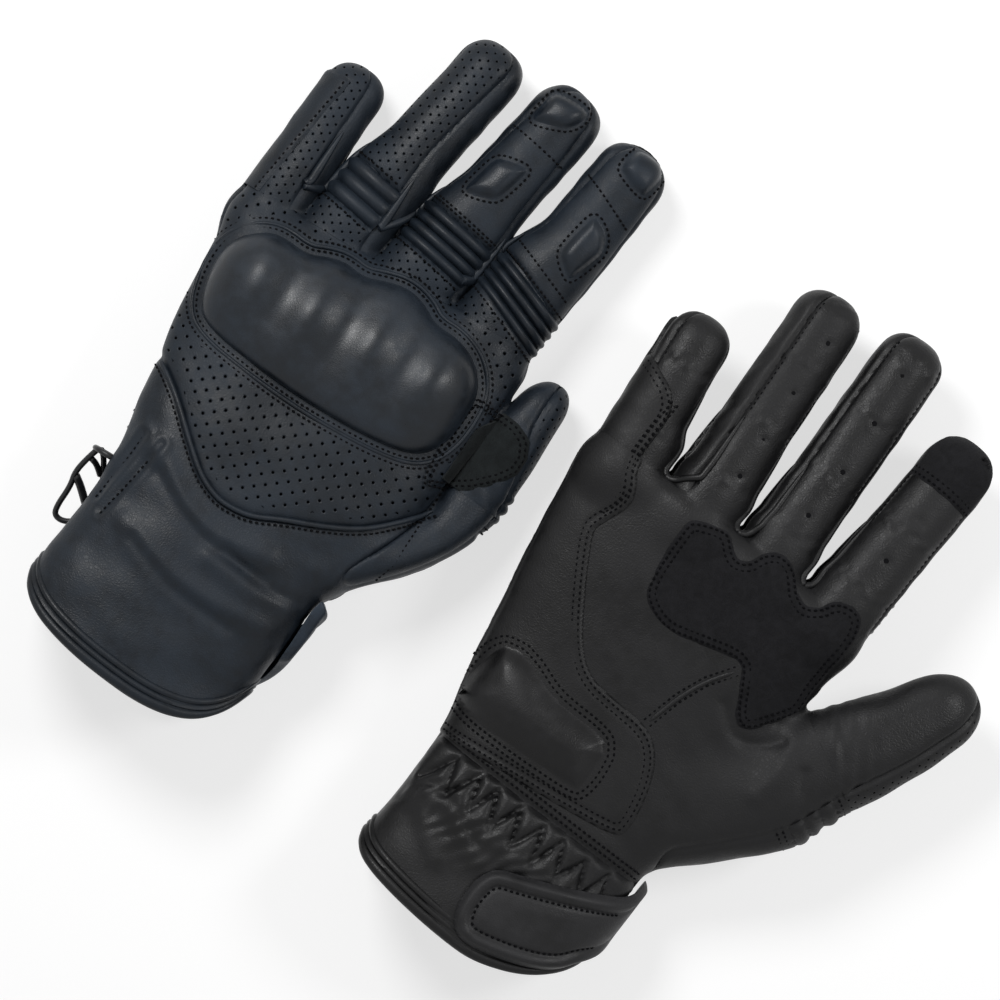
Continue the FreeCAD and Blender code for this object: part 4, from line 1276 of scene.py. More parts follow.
def wardrobe(side: Side) -> Wardrobe:
    """Choose a glove's finishes: the left glove's hide is painted a paler, bluer black than the right's,
    which is painted light, the two gloves being one leather lit differently.

    Args:
        side: which hand it is for.

    Returns:
        The glove's finishes.
    """
    left_lit_paler = side is Side.LEFT
    # Painted light: the left glove's hide and suede get a paler, bluer colour than the right's, to copy the
    # different light on the two gloves.
    hide = shade(23, 29, 36) if left_lit_paler else shade(18, 18, 19)
    tag = side.value

    def leather(name: str, slot: str, share: float = 1.0, **more: float) -> Leather:
        """Make one leather from the glove's hide."""
        return Leather(f"{tag}_{name}", slot, scaled(hide, share), **more)

    return Wardrobe(
        smooth=leather("smooth_leather", "grain_leather", 0.95, roughness=0.42, grain=1.0, depth=0.3,
                       wrinkle=0.25),
        punched=leather("perforated_leather", "perforated_leather", roughness=0.45, grain=0.9, depth=0.25,
                        wrinkle=0.15, punched=0.52),
        guard=leather("guard_leather", "guard_leather", 1.0, roughness=0.37, grain=0.8, depth=0.12,
                      wrinkle=0.05, specular=0.28),
        palm=leather("palm_leather", "grain_leather", 1.0, roughness=0.43, grain=1.1, depth=0.35,
                     wrinkle=0.35),
        overlay=leather("overlay_leather", "overlay_leather", 0.8, roughness=0.45, grain=1.0, depth=0.3,
                        wrinkle=0.2),
        binding=leather("binding_leather", "binding", 0.7, roughness=0.4, grain=0.8, depth=0.2, wrinkle=0.1),
        flex=leather("accordion_leather", "flex_leather", 0.95, roughness=0.38, grain=0.8, depth=0.2,
                     wrinkle=0.1),
        pad=leather("pad_leather", "pad_leather", 1.1, roughness=0.36, grain=0.9, depth=0.2, wrinkle=0.1),
        strap=leather("strap_leather", "strap_leather", 2.2, roughness=0.42, grain=0.9, depth=0.25,
                      wrinkle=0.1),
        gusset=leather("gusset_leather", "grain_leather", 0.85, roughness=0.43, grain=0.9, depth=0.3,
                       wrinkle=0.3),
        suede=Suede(f"{tag}_suede", "suede", shade(27, 30, 31) if left_lit_paler else shade(28, 28, 30)),
        loop=TouchTape(f"{tag}_loop_tape", "hook_and_loop", shade(34, 34, 36), 1.6),
        hook=TouchTape(f"{tag}_hook_tape", "hook_and_loop", shade(28, 28, 30), 1.1),
        thread=Plastic(f"{tag}_thread", "tape_fabric", shade(7, 7, 9), 0.6, 0.05),
        clip=Plastic(f"{tag}_clip_plastic", "clip_plastic", shade(22, 23, 25), 0.3),
    )


# ---------------------------------------------------------------- one glove's cut

@dataclass(frozen=True)
class Seams:
    """Where one finger's panels meet, as angles round it at its root, middle and tip."""

    back_low: tuple[float, float, float]
    back_high: tuple[float, float, float]
    front_low: float
    front_high: float
    ribs: int = 0
    flex_from: float = 11.0
    flex_to: float = 27.0
    flex_lean: float = 0.0
    punched: bool = False

    @property
    def backs(self) -> tuple[tuple[float, float, float], tuple[float, float, float]]:
        """The two seams of the back panel."""
        return self.back_low, self.back_high


SEAMS = {
    "index": Seams((-84, -66, -46), (86, 80, 60), -106, 110, 4, 6.5, 21.0, 0.33),
    "middle": Seams((-85, -76, -38), (62, 55, 38), -131, 108, 4),
    "ring": Seams((-95, -92, -78), (40, 20, 34), -150, 100, 3, punched=True),
    "pinky": Seams((-98, -98, -92), (32, 26, 26), -132, 100, punched=True),
}


@dataclass(frozen=True)
class Cut:
    """The plan lines of one glove: where its panels, overlays and rows of stitches run."""

    form: Form
    hem: Plan
    vee: Plan
    thumb_edge: Plan
    seam_hem: float
    seam_front: float
    wrist: float
    thumb_low: Plan
    thumb_high: float
    slack: float
    ribs: tuple[float, float]
    ribs_angle: tuple[float, float]
    guard: tuple[tuple[float, float, float, float], ...]
    lines: dict[str, Plan]


def refit(points: Plan, source: Trunk, target: Trunk) -> list[tuple[float, float]]:
    """Carry plan points from one hand's proportions to another's.

    Args:
        points: the plan points.
        source: the hand they were drawn on.
        target: the hand they are carried to.

    Returns:
        The carried points.
    """
    places = np.asarray(points, float)
    along = places[:, 1] + target.front - source.front
    middle, wide, _, _ = source.section(places[:, 1])
    new_middle, new_wide, _, _ = target.section(along)
    across = new_middle + (places[:, 0] - middle) * new_wide / wide
    return [tuple(row) for row in np.column_stack([across, along])]


LEFT_TRUNK = Trunk((
    Station(-130, -45, 40, 26.7, 44), Station(-121, -45, 40, 26.7, 44), Station(-103, -44.5, 40.3, 26.5, 43),
    Station(-78, -42, 43.5, 26.4, 40), Station(-62, -40.6, 45.5, 26.5, 38), Station(-48, -41, 50, 26.3, 37),
    Station(-36, -43, 55, 25.8, 36), Station(-22, -44.8, 58.5, 25, 35), Station(-4, -47.6, 61.8, 23, 33.6),
    Station(18, -49.4, 65.2, 20.5, 32), Station(34, -50.4, 65.8, 17.4, 29.4),
    Station(47.2, -51, 65.5, 14.3, 26.6),
    Station(60, -51, 65.5, 14, 26)), 47.2)
RIGHT_TRUNK = Trunk((
    Station(-140, -49, 36, 26.5, 44), Station(-131, -49, 36, 26.5, 44), Station(-113, -48.3, 37, 26.5, 43),
    Station(-88, -48, 37, 26.6, 40.5), Station(-72, -49.4, 36.8, 27, 38), Station(-58, -53, 38, 26.6, 37),
    Station(-46, -56, 39.5, 26.2, 36), Station(-32, -58.7, 40.6, 25.5, 35),
    Station(-14, -62.3, 43, 23.6, 33.6),
    Station(8, -66, 45, 21.5, 32), Station(24, -68, 46, 19.8, 29.6), Station(37.2, -69, 46.5, 18, 27),
    Station(50, -69, 46.5, 18, 27)), 37.2)
LEFT_DIGITS = (
    Digit("index", 51, 15, 8, -1.2, 82.5, 13.4, 12.6, web_low=5.2),
    Digit("middle", 16.5, 14, 11, -1.2, 89, 13.5, 12.4, web_low=3.0, web_high=1.4),
    Digit("ring", -14.5, 14, 11, -1.2, 89, 12.5, 11.8, web_low=2.6, web_high=1.8),
    Digit("pinky", -39.5, 14, 4, -2, 56.6, 11.3, 10.6),
)
RIGHT_DIGITS = (
    Digit("index", 34, 18, 2.5, 6, 75.5, 13, 12.2, web_low=0.8, web_reach=16),
    Digit("middle", 4.5, 18, -2.2, 6, 93.5, 12.3, 11.9, web_low=1.0, web_high=1.0, web_reach=16),
    Digit("ring", -25.4, 18, -3.6, 6, 88, 13.2, 12.2, web_low=1.0, web_high=1.0, web_reach=16),
    Digit("pinky", -56, 18, -6.5, 5, 55, 12, 11, web_high=2.4, web_reach=18),
)
LEFT_THUMB = Thumb((74.2, -6), 5, (
    ThumbStation(-50, -29, 23, 20, 29), ThumbStation(-33, -14.5, 20, 19, 30.5),
    ThumbStation(-16.7, -4.9, 16.6, 18.6, 30),
    ThumbStation(0, -2.4, 15, 22.4, 27.5), ThumbStation(12, -3.0, 14.5, 23.4, 27),
    ThumbStation(24, -3.3, 14, 22.8, 26),
    ThumbStation(38, -1.7, 13.4, 17.6, 24), ThumbStation(52, -0.6, 13, 13.4, 20)), 50.5, 11, 4.0)
RIGHT_THUMB = Thumb((62.6, -5.2), 27.7, (
    ThumbStation(-68, -8, 26, 32, 26), ThumbStation(-45, -3, 24.5, 38, 28),
    ThumbStation(-22, 0.6, 23.5, 41, 29),
    ThumbStation(0, 0, 23, 37, 28), ThumbStation(24, 1, 23.5, 32, 25), ThumbStation(43, 0.5, 24.5, 27, 21.5),
    ThumbStation(57, 0, 25, 22, 18)), 57, 14, 40.0)

FOLD_SIZES = {
    Face.BACK: (("fold_back", 1.25, 4.4), ("crease_back", -1.0, 2.4)),
    Face.PALM: (("fold_palm", 1.1, 3.8), ("crease_palm", -0.9, 1.9)),
}
FINE_HOLES = 1.36
VENTS = {
    "ring": ((71, 0.35), (50, 0.31), (31, 0.33), (16, 0.37)),
    "middle": ((78, 0.0), (59, 0.14), (39, 0.2), (20, 0.11)),
    "index": ((42, 0.02), (24, 0.04)),
}
BACK_LINES = {
    "vee": ((-60, -12), (-45, -18), (-33, -26), (-20, -38), (-11, -45.5), (-3, -49), (3, -49.5),
            (11, -48.5), (20, -44), (33, -39), (45, -33), (54, -25), (63, -15), (75, -14), (115, -14)),
    "thumb_edge": ((45, -72), (58, -52), (62.5, -38), (63.5, -15), (65, 10), (65.5, 30), (66, 50)),
    "elastic_a": ((-35, -43), (-36, -55), (-38.3, -70)),
    "elastic_b": ((-28, -43), (-30.5, -58), (-34, -74)),
    "guard": ((-46, 20), (-44, 30), (-37, 37), (-30, 39), (-20, 37.8), (-13, 41), (-7, 42.5), (1, 41.2),
              (8, 44), (16, 46), (24, 44), (30, 40), (40, 40), (49, 36), (55, 28), (56, 19), (55, 9),
              (51, 1), (44, -3), (28, -5), (8, -5.5), (-15, -4), (-36, -1), (-43, 5)),
}
PALM_LINES = {
    "palm_patch": ((-27, 33), (-12, 38), (-9, 33), (-2, 31), (1, 40), (8, 43.5), (15, 39), (20, 33),
                   (27, 34), (30, 42), (40, 43.5), (44, 35), (43, 10), (44.5, 3), (40, -4), (33, -14),
                   (27, -12), (20, 1), (17, 5), (0, 0), (-10, -3), (-20, 0), (-25, 6)),
    "heel_overlay": ((-72, -77), (-50, -78), (-30, -75.5), (0, -72), (19, -69), (22, -66), (21.5, -57),
                     (18, -45), (13, -37), (6, -32.5), (-8, -32), (-20, -31), (-29, -24), (-40, -8),
                     (-50, 9), (-49, 13), (-45.5, 22), (-46, 28), (-52, 36), (-52, 60), (-90, 60),
                     (-90, -77)),
    "heel_pad": ((-51, -41), (-46, -38.5), (-40, -38.5), (-33, -41), (-25, -44), (-5, -44), (-1, -46),
                 (1, -52), (1.2, -63), (-1, -65), (-25, -66.5), (-49, -66.5), (-52, -60)),
    "gusset": ((18, 1), (12, -8), (8, -18), (5, -31)),
}
THUMB_PATCH = ((52, 28), (66, 26.5), (76.6, 25.5), (80.4, 20.4), (81.9, 13.3), (79.8, 8), (74.4, 1.5),
               (66.4, -5.3), (52, -12))
PINKY_PATCH = ((-49, 14), (-46.2, 28), (-52.7, 36.4), (-52.6, 56.3), (-56.7, 63), (-66, 67), (-74.5, 70.8),
               (-92, 74), (-92, 14))
PADS = {
    "middle_low": ((19, 100.5), (30, 102.5), (28.5, 96), (26, 88), (15, 85), (16.5, 92)),
    "middle_high": ((24.5, 130.5), (36.5, 130.5), (37.5, 127), (34, 121.5), (22.5, 117.5), (23, 124)),
    "index_low": ((57.5, 100.5), (64, 97), (66.5, 91), (61.5, 77.5), (54, 84), (55.5, 92)),
    "index_high": ((59, 128), (67.5, 128), (70.5, 124), (68.5, 115), (57, 119)),
}


@dataclass(frozen=True)
class Lay:
    """How a glove lies: from its own millimetres to the shared metres."""

    turn: np.ndarray
    base: np.ndarray
    up: float

    @staticmethod
    def found(side: Side, trunk: Trunk, digits: Sequence[Digit]) -> "Lay":
        """Work out the lay from two knuckle joints and the cuff's height in the frame.

        Args:
            side: which hand it is for.
            trunk: the hand's form.
            digits: the fingers.

        Returns:
            The lay.
        """
        joints = {joint["name"]: joint for joint in frame["joints"]}
        near, far = ([d for d in digits if d.name == name][0] for name in ("pinky", "index"))
        a, b = (np.array(joints[f"{side.value}_{d.name}_bend"]["pos_m"][:2]) / MM for d in (near, far))
        way = (b - a) / (far.across - near.across)
        turn = np.array([[way[0], -way[1]], [way[1], way[0]]])
        flat = a - turn @ np.array([near.across, trunk.front])
        low, high = (corner.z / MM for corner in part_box(f"{side.value}_cuff_back"))
        crown = trunk.stations[1].rise + trunk.stations[1].thick / 2
        up = 1.0 if side is Side.LEFT else -1.0
        rise = high - crown if side is Side.LEFT else low + crown
        return Lay(turn, np.array([*flat, rise]), up)

    def world(self, points: np.ndarray) -> np.ndarray:
        """Turn points of the glove into places in the shared frame, in metres."""
        points = np.atleast_2d(points)
        return np.column_stack([points[:, :2] @ self.turn.T, points[:, 2] * self.up]) * MM + self.base * MM


@dataclass(frozen=True)
class Carrier:
    """What a piece moves with: one body, or the bend between two, whose ends are only kept here."""

    body: str
    bend_to: str = ""
    start: tuple[float, float, float] = (0, 0, 0)
    end: tuple[float, float, float] = (0, 0, 0)

    def take(self, piece: bpy.types.Object) -> None:
        """Parent a piece to its body; a piece on a bend is only baked in place, not bound to the bend.

        Args:
            piece: the piece.
        """
        if self.bend_to:
            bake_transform(piece)
        else:
            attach(piece, self.body)


@dataclass
class Thread:
    """All the stitches that one carrier takes."""

    carrier: Carrier
    pitch: float = 2.1
    long: float = 1.4
    mouth_sides: int = 14
    points: list[np.ndarray] = field(default_factory=list)
    faces: list[np.ndarray] = field(default_factory=list)
    count: int = 0

    def add(self, points: np.ndarray, faces: np.ndarray) -> None:
        """Keep some more points, and the triangles that join them.

        Args:
            points: the points.
            faces: the triangles, counted from the first of the points.
        """
        self.faces.append(faces + self.count)
        self.points.append(points)
        self.count += len(points)

    def sew(self, line: np.ndarray, normals: np.ndarray, lift: float, thick: float = 0.37) -> None:
        """Sew a row of stitches along a line on the leather.

        Args:
            line: points along the row, close together.
            normals: the way out of the leather at each.
            lift: how far the leather stands out there.
            thick: half a stitch's thickness.
        """
        places, along, out, side = framed(line, normals, self.pitch)
        if len(places) < 3:
            return
        sides = np.linspace(0, 2 * math.pi, 6)[:-1]
        rings = [(-0.32, 0.8), (0.0, 1.0), (0.32, 0.8)]
        spots = [(-0.5, 0.0, -0.9)]
        spots += [(a, b * math.cos(t), b * math.sin(t)) for a, b in rings for t in sides]
        spots += [(0.5, 0.0, -0.9)]
        local = np.array(spots)
        centre = places + out * (lift + 0.02)
        made = centre[:, None] + along[:, None] * local[None, :, :1] * self.long
        made = made + side[:, None] * local[None, :, 1:2] * thick * 1.15
        made = made + out[:, None] * local[None, :, 2:] * thick
        faces = []
        for k in range(5):
            after = (k + 1) % 5
            faces += [(0, 1 + k, 1 + after), (16, 11 + after, 11 + k)]
            for ring in (1, 6):
                one, two = ring + k, ring + after
                faces += [(one, one + 5, two + 5), (one, two + 5, two)]
        block = np.array(faces)[:, ::-1] + len(local) * np.arange(len(places))[:, None, None]
        self.add(made.reshape(-1, 3), block.reshape(-1, 3))

    def dot(self, place: np.ndarray, out: np.ndarray, radius: float, lift: float) -> None:
        """Set a near-black disc, with a cup under it, into the leather at a small punched hole: painted shade
        for the hole's unlit inside.

        Args:
            place: the hole's middle.
            out: the way out of the leather there.
            radius: the hole's radius.
            lift: how far the leather stands out.
        """
        sides = self.mouth_sides
        one = np.cross(out, (0.3, 0.9, 0.1))
        one /= np.linalg.norm(one)
        turns = np.linspace(0, 2 * math.pi, sides + 1)[:-1]
        ring = one * np.cos(turns)[:, None] + np.cross(out, one) * np.sin(turns)[:, None]
        rows = [place + out * (lift + up) + ring * radius * wide for wide, up in ((0.86, 0.0), (1.0, -0.35))]
        points = np.vstack([*rows, place + out * (lift + 0.03), place + out * (lift - 0.6)])
        here = np.arange(sides)
        after = np.roll(here, -1)
        top, low = np.full(sides, 2 * sides), np.full(sides, 2 * sides + 1)
        corners = ((here, after, top), (here, here + sides, after + sides), (here, after + sides, after),
                   (after + sides, here + sides, low))
        self.add(points, np.concatenate([np.stack(three, 1) for three in corners]))


@dataclass
class Bench:
    """What every sub-assembly of a glove is made with: its cut, its lay, its finishes and its threads."""

    side: Side
    cut: Cut
    lay: Lay
    finish: Wardrobe
    threads: dict[str, Thread]

    @property
    def form(self) -> Form:
        """The glove's outer form."""
        return self.cut.form

    @property
    def front(self) -> float:
        """Where the fingers leave the hand."""
        return self.form.trunk.front

    def build(self, skin: Sheet) -> None:
        """Build and dress the sub-assembly from the glove's whole skin."""
        raise NotImplementedError

    def name(self, word: str) -> str:
        """Name a piece or a body of this glove."""
        return f"{self.side.value}_{word}"

    @property
    def hand(self) -> Carrier:
        """The hand's own body."""
        return Carrier(self.name("hand"))

    def digit_carrier(self, digit: Digit) -> Carrier:
        """The bend from the hand into a finger.

        Args:
            digit: the finger.

        Returns:
            The bend.
        """
        front = self.front
        ends = self.lay.world(np.array([[digit.across, front + reach, 15.0] for reach in (2.5, 31.0)]))
        return Carrier(self.name("hand"), self.name(f"{digit.name}_finger"), tuple(ends[0]), tuple(ends[1]))

    def thumb_carrier(self) -> Carrier:
        """The bend from the hand into the thumb.

        Returns:
            The bend.
        """
        thumb = self.form.thumb
        ahead, spot = thumb.axes()[1], np.array([*thumb.spot, 15.0])
        ends = self.lay.world(np.array([spot + ahead * 1.0, spot + ahead * 24.0]))
        return Carrier(self.name("hand"), self.name("thumb"), tuple(ends[0]), tuple(ends[1]))

    def thread(self, word: str, carrier: Carrier) -> Thread:
        """Give the thread of one part of the glove, starting it at its first use."""
        return self.threads.setdefault(word, Thread(carrier))

    def piece(self, word: str, points: np.ndarray, faces: np.ndarray, finish: Finish, carrier: Carrier,
              nodes: Sequence[str] = (), edge: np.ndarray | float = 9.0, pattern: np.ndarray | None = None,
              holes: np.ndarray | float = 0.0, fill: float | None = None) -> bpy.types.Object:
        """Make a piece of the glove and hand it over.

        Args:
            word: the piece's name within the glove.
            points: its points, in the glove's millimetres.
            faces: its triangles.
            finish: its finish.
            carrier: what it moves with.
            nodes: the solids that it stands for, by their names within the glove.
            edge: each point's distance from the piece's edge.
            pattern: each point's place on the hide, for holes and weaves.
            holes: where the hide is punched, from 0 to 1.
            fill: not used.

        Returns:
            The finished object.
        """
        title = f"{self.side.value}_glove_{word}"
        mesh = bpy.data.meshes.new(title)
        order = faces[:, ::-1] if self.lay.up < 0 else faces
        mesh.from_pydata([], [], [])
        mesh.vertices.add(len(points))
        mesh.vertices.foreach_set("co", self.lay.world(points).astype(np.float32).ravel())
        mesh.loops.add(3 * len(order))
        mesh.loops.foreach_set("vertex_index", order.astype(np.int32).ravel())
        mesh.polygons.add(len(order))
        mesh.polygons.foreach_set("loop_start", np.arange(0, 3 * len(order), 3, dtype=np.int32))
        mesh.polygons.foreach_set("use_smooth", np.ones(len(order), bool))
        mesh.update(calc_edges=True)
        for label, values in (("rest", points), ("pattern", points if pattern is None else pattern)):
            attribute = mesh.attributes.new(label, "FLOAT_VECTOR", "POINT")
            attribute.data.foreach_set("vector", np.asarray(values, np.float32).ravel())
        for label, values in (("edge", edge), ("holes", holes)):
            attribute = mesh.attributes.new(label, "FLOAT", "POINT")
            spread = np.broadcast_to(values, len(points)).astype(np.float32)
            attribute.data.foreach_set("value", spread.copy())
        mesh.set_sharp_from_angle(angle=math.radians(62))
        mesh.materials.append(dressed(finish))
        made = bpy.data.objects.new(title, mesh)
        bpy.context.scene.collection.objects.link(made)
        carrier.take(made)
        if nodes:
            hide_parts(*(self.name(n) for n in nodes))
        log.info("%s: %d faces", made.name, len(order))
        return made

    def panel(self, word: str, sheet: Sheet, finish: Finish, carrier: Carrier, nodes: Sequence[str],
              outer: np.ndarray | float, inner: float, edge: np.ndarray | float = 9.0,
              pattern: np.ndarray | None = None, holes: np.ndarray | float = 0.0,
              fill: float | None = None) -> bpy.types.Object | None:
        """Close a sheet into leather and make it a piece.

        Args:
            word: its name within the glove.
            sheet: the sheet.
            finish: its finish.
            carrier: what it moves with.
            nodes: the solids that it stands for.
            outer: how far the outer face stands out.
            inner: how far the inner face stands out.
            edge: each point's distance from the piece's edge.
            pattern: each point's place on the hide.
            holes: where the hide is punched.
            fill: how full a padded piece is.

        Returns:
            The finished object, or nothing where the sheet is empty.
        """
        if len(sheet.faces) < 4:
            log.warning("%s is empty", self.name(word))
            return None
        points, faces = sheet.shell(outer, inner)
        twice = [np.concatenate([v, v]) if isinstance(v, np.ndarray) else v for v in (edge, pattern, holes)]
        return self.piece(word, points, faces, finish, carrier, nodes, twice[0], twice[1], twice[2], fill)

    def runs(self, line: Plan | np.ndarray, face: Face,
             lean: float = 0.12) -> list[tuple[np.ndarray, np.ndarray]]:
        """Lay a plan line on one face, and break it where the glove ends below it.

        Args:
            line: the line's plan points.
            face: the face it lies on.
            lean: how little the leather may still face up, or down.

        Returns:
            The points of each unbroken run, with the ways out at them.
        """
        path = walked(np.asarray(line, float), 0.7)
        tall = self.form.height(path, face)
        points = np.column_stack([path, np.nan_to_num(tall, nan=-99.0)])
        normals = self.form.outward(points)
        held = ~np.isnan(tall) & (np.abs(self.form.read(points)) < 0.7) & (normals[:, 2] * face.value > lean)
        edges = np.flatnonzero(np.diff(np.concatenate([[False], held, [False]]).astype(int)))
        return [(points[a:b], normals[a:b]) for a, b in zip(edges[::2], edges[1::2]) if b - a > 5]

    def row(self, line: Plan | np.ndarray, face: Face) -> tuple[np.ndarray, np.ndarray]:
        """Lay a plan line on one face and keep its longest run."""
        return max(self.runs(line, face), key=lambda run: len(run[0]))

    def piping(self, word: str, line: np.ndarray, normals: np.ndarray, radius: float, lift: float,
               finish: Finish, carrier: Carrier, taper: float | tuple[float, float] = 3.0, sides: int = 8,
               nodes: Sequence[str] = ()) -> bpy.types.Object | None:
        """Lay a rolled edge of leather along a line.

        Args:
            word: the piece's name.
            line: points along the roll.
            normals: the ways out at them.
            radius: the roll's radius.
            lift: how far its middle stands out.
            finish: its finish.
            carrier: what it moves with.
            taper: over what length its ends thin out, or its start and its end apart.
            sides: how many sides the roll has.
            nodes: the solids that it stands for.

        Returns:
            The finished object, or nothing where the line is too short.
        """
        pitch = 0.9
        places, _, out, across = framed(line, normals, pitch)
        if len(places) < 4:
            return None
        reach = np.arange(len(places)) * pitch
        first, last = taper if isinstance(taper, tuple) else (taper, taper)
        thin = np.clip(np.minimum(reach / first, reach[::-1] / last), 0.02, 1) ** 0.5
        turns = np.linspace(0, 2 * math.pi, sides + 1)[:-1]
        ring = (places + out * lift)[:, None] + radius * thin[:, None, None] * (
            across[:, None] * np.cos(turns)[None, :, None] + out[:, None] * np.sin(turns)[None, :, None])
        points = np.vstack([ring.reshape(-1, 3), places[0] + out[0] * lift, places[-1] + out[-1] * lift])
        index = np.arange(len(places) * sides).reshape(len(places), sides)
        nxt = np.roll(index, -1, axis=1)
        a, b, c, d = index[:-1], nxt[:-1], nxt[1:], index[1:]
        faces = [np.stack(half, -1).reshape(-1, 3) for half in ((a, d, c), (a, c, b))]
        near, far = (np.full(sides, len(points) - k) for k in (2, 1))
        faces += [np.stack([index[0], nxt[0], near], -1), np.stack([nxt[-1], index[-1], far], -1)]
        return self.piece(word, points, np.concatenate(faces), finish, carrier, nodes)

    def hem_line(self, across: np.ndarray) -> np.ndarray:
        """Read where the cuff ends at a place across it."""
        hem = rounded(self.cut.hem, False)
        return np.interp(across, hem[:, 0], hem[:, 1])

    def back_share(self, points: np.ndarray) -> np.ndarray:
        """Measure how far points are on the back's side of the side seams, negative on the palm's side.

        Args:
            points: points in the glove's millimetres.

        Returns:
            Each point's distance on the back's side.
        """
        form, cut = self.form, self.cut
        x, y, z = points.T
        seam = np.interp(y, (-120, form.trunk.front), (cut.seam_hem, cut.seam_front))
        edge = np.asarray(cut.thumb_edge)
        by_height = z - seam
        side = np.interp(y, edge[:, 1], edge[:, 0], left=200.0)
        by_height = np.minimum(by_height, np.where(y < edge[0, 1], 99.0, side - x))
        spots = form.thumb.centred(points)
        _, _, wide, tall = form.thumb.section(spots[:, 1])
        angle = np.degrees(np.arctan2(spots[:, 2] / tall, spots[:, 0] / wide)) % 360
        stops = np.asarray(cut.thumb_low, float)
        start = np.interp(spots[:, 1], stops[:, 0], stops[:, 1])
        into = np.minimum((angle - start), (cut.thumb_high - angle)) * np.minimum(wide, tall) * math.pi / 180
        own = form.trunk.distance(x, y, z) - form.thumb.distance(x, y, z)
        share = smooth_step(-2.0, 5.0, own) * (x > 20)
        return by_height * (1 - share) - into * share

    def thumb_front(self, points: np.ndarray) -> np.ndarray:
        """Measure how far points are beyond the thumb's joint, negative on the hand.

        Args:
            points: points in the glove's millimetres.

        Returns:
            Each point's distance beyond the joint.
        """
        form = self.form
        along = form.thumb.local(points)[:, 1]
        own = form.trunk.distance(*points.T) - form.thumb.distance(*points.T)
        return np.minimum(along - 1.0, own + 6.0 - 6.5 * smooth_step(20, 32, along))

    def folds(self, points: np.ndarray, normals: np.ndarray) -> np.ndarray:
        """Work out the soft folds and dents that handling leaves in the leather.

        Args:
            points: points on the leather, in the glove's millimetres.
            normals: the ways out at them.

        Returns:
            How far the leather rises at each point.
        """
        front = self.front
        y = points[:, 1]
        total = 0.35 * noise(points, 34.0, 7) + 0.16 * noise(points, 13.0, 21)
        cuff = 1 - smooth_step(front - 110, front - 92, y)
        total += cuff * 0.45 * noise(points * np.array([0.55, 1.0, 0.8]), 22.0, 5)
        for face in Face:
            facing = np.clip(normals[:, 2] * face.value, 0, 1)
            for key, depth, width in FOLD_SIZES[face]:
                for name in sorted(name for name in self.cut.lines if name.startswith(key)):
                    away = line_distance(points[:, :2], rounded(self.cut.lines[name], False))
                    total += facing * depth * hump(away, width)
        for key in ("elastic_a", "elastic_b"):
            away = line_distance(points[:, :2], rounded(self.cut.lines[key], False))
            dent = 0.45 * hump(away - 2.4, 1.2) - 0.6 * hump(away, 1.1)
            total += np.clip(normals[:, 2], 0, 1) * dent
        return total

    def thumb_ribs(self, points: np.ndarray) -> np.ndarray:
        """Work out the accordion folds over the thumb's joint.

        Args:
            points: points in the glove's millimetres.

        Returns:
            How far the leather rises at each point.
        """
        form = self.form
        start, end = self.cut.ribs
        along = form.thumb.local(points)[:, 1]
        own = form.trunk.distance(*points.T) - form.thumb.distance(*points.T)
        share = smooth_step(1.0, 5.0, own) * ((along > start) & (along < end))
        return share * (1.3 * np.abs(np.sin(math.pi * 3 * (along - start) / (end - start))) ** 0.7 - 0.7)

    def stitched(self, word: str, line: Plan, face: Face, lift: float, gaps: Sequence[float],
                 carrier: Carrier | None = None, closed: bool = False) -> None:
        """Sew rows beside a plan line, each at a gap from it.

        Args:
            word: whose thread it is.
            line: the plan line.
            face: which face it is on.
            lift: how far the leather stands out.
            gaps: each row's distance from the line, positive to its left, or inward where it closes.
            carrier: what the thread moves with; the hand unless given.
            closed: whether the line closes on itself.
        """
        path = np.asarray(line, float)
        if closed:
            path = path[::int(turning(path))]
            path = np.vstack([path, path[:1]])
        path = walked(path, 0.8)
        for gap in gaps:
            for points, normals in self.runs(path + left_of(path) * gap, face, lean=0.3):
                self.thread(word, carrier or self.hand).sew(points, normals, lift)


# ---------------------------------------------------------------- the sub-assemblies

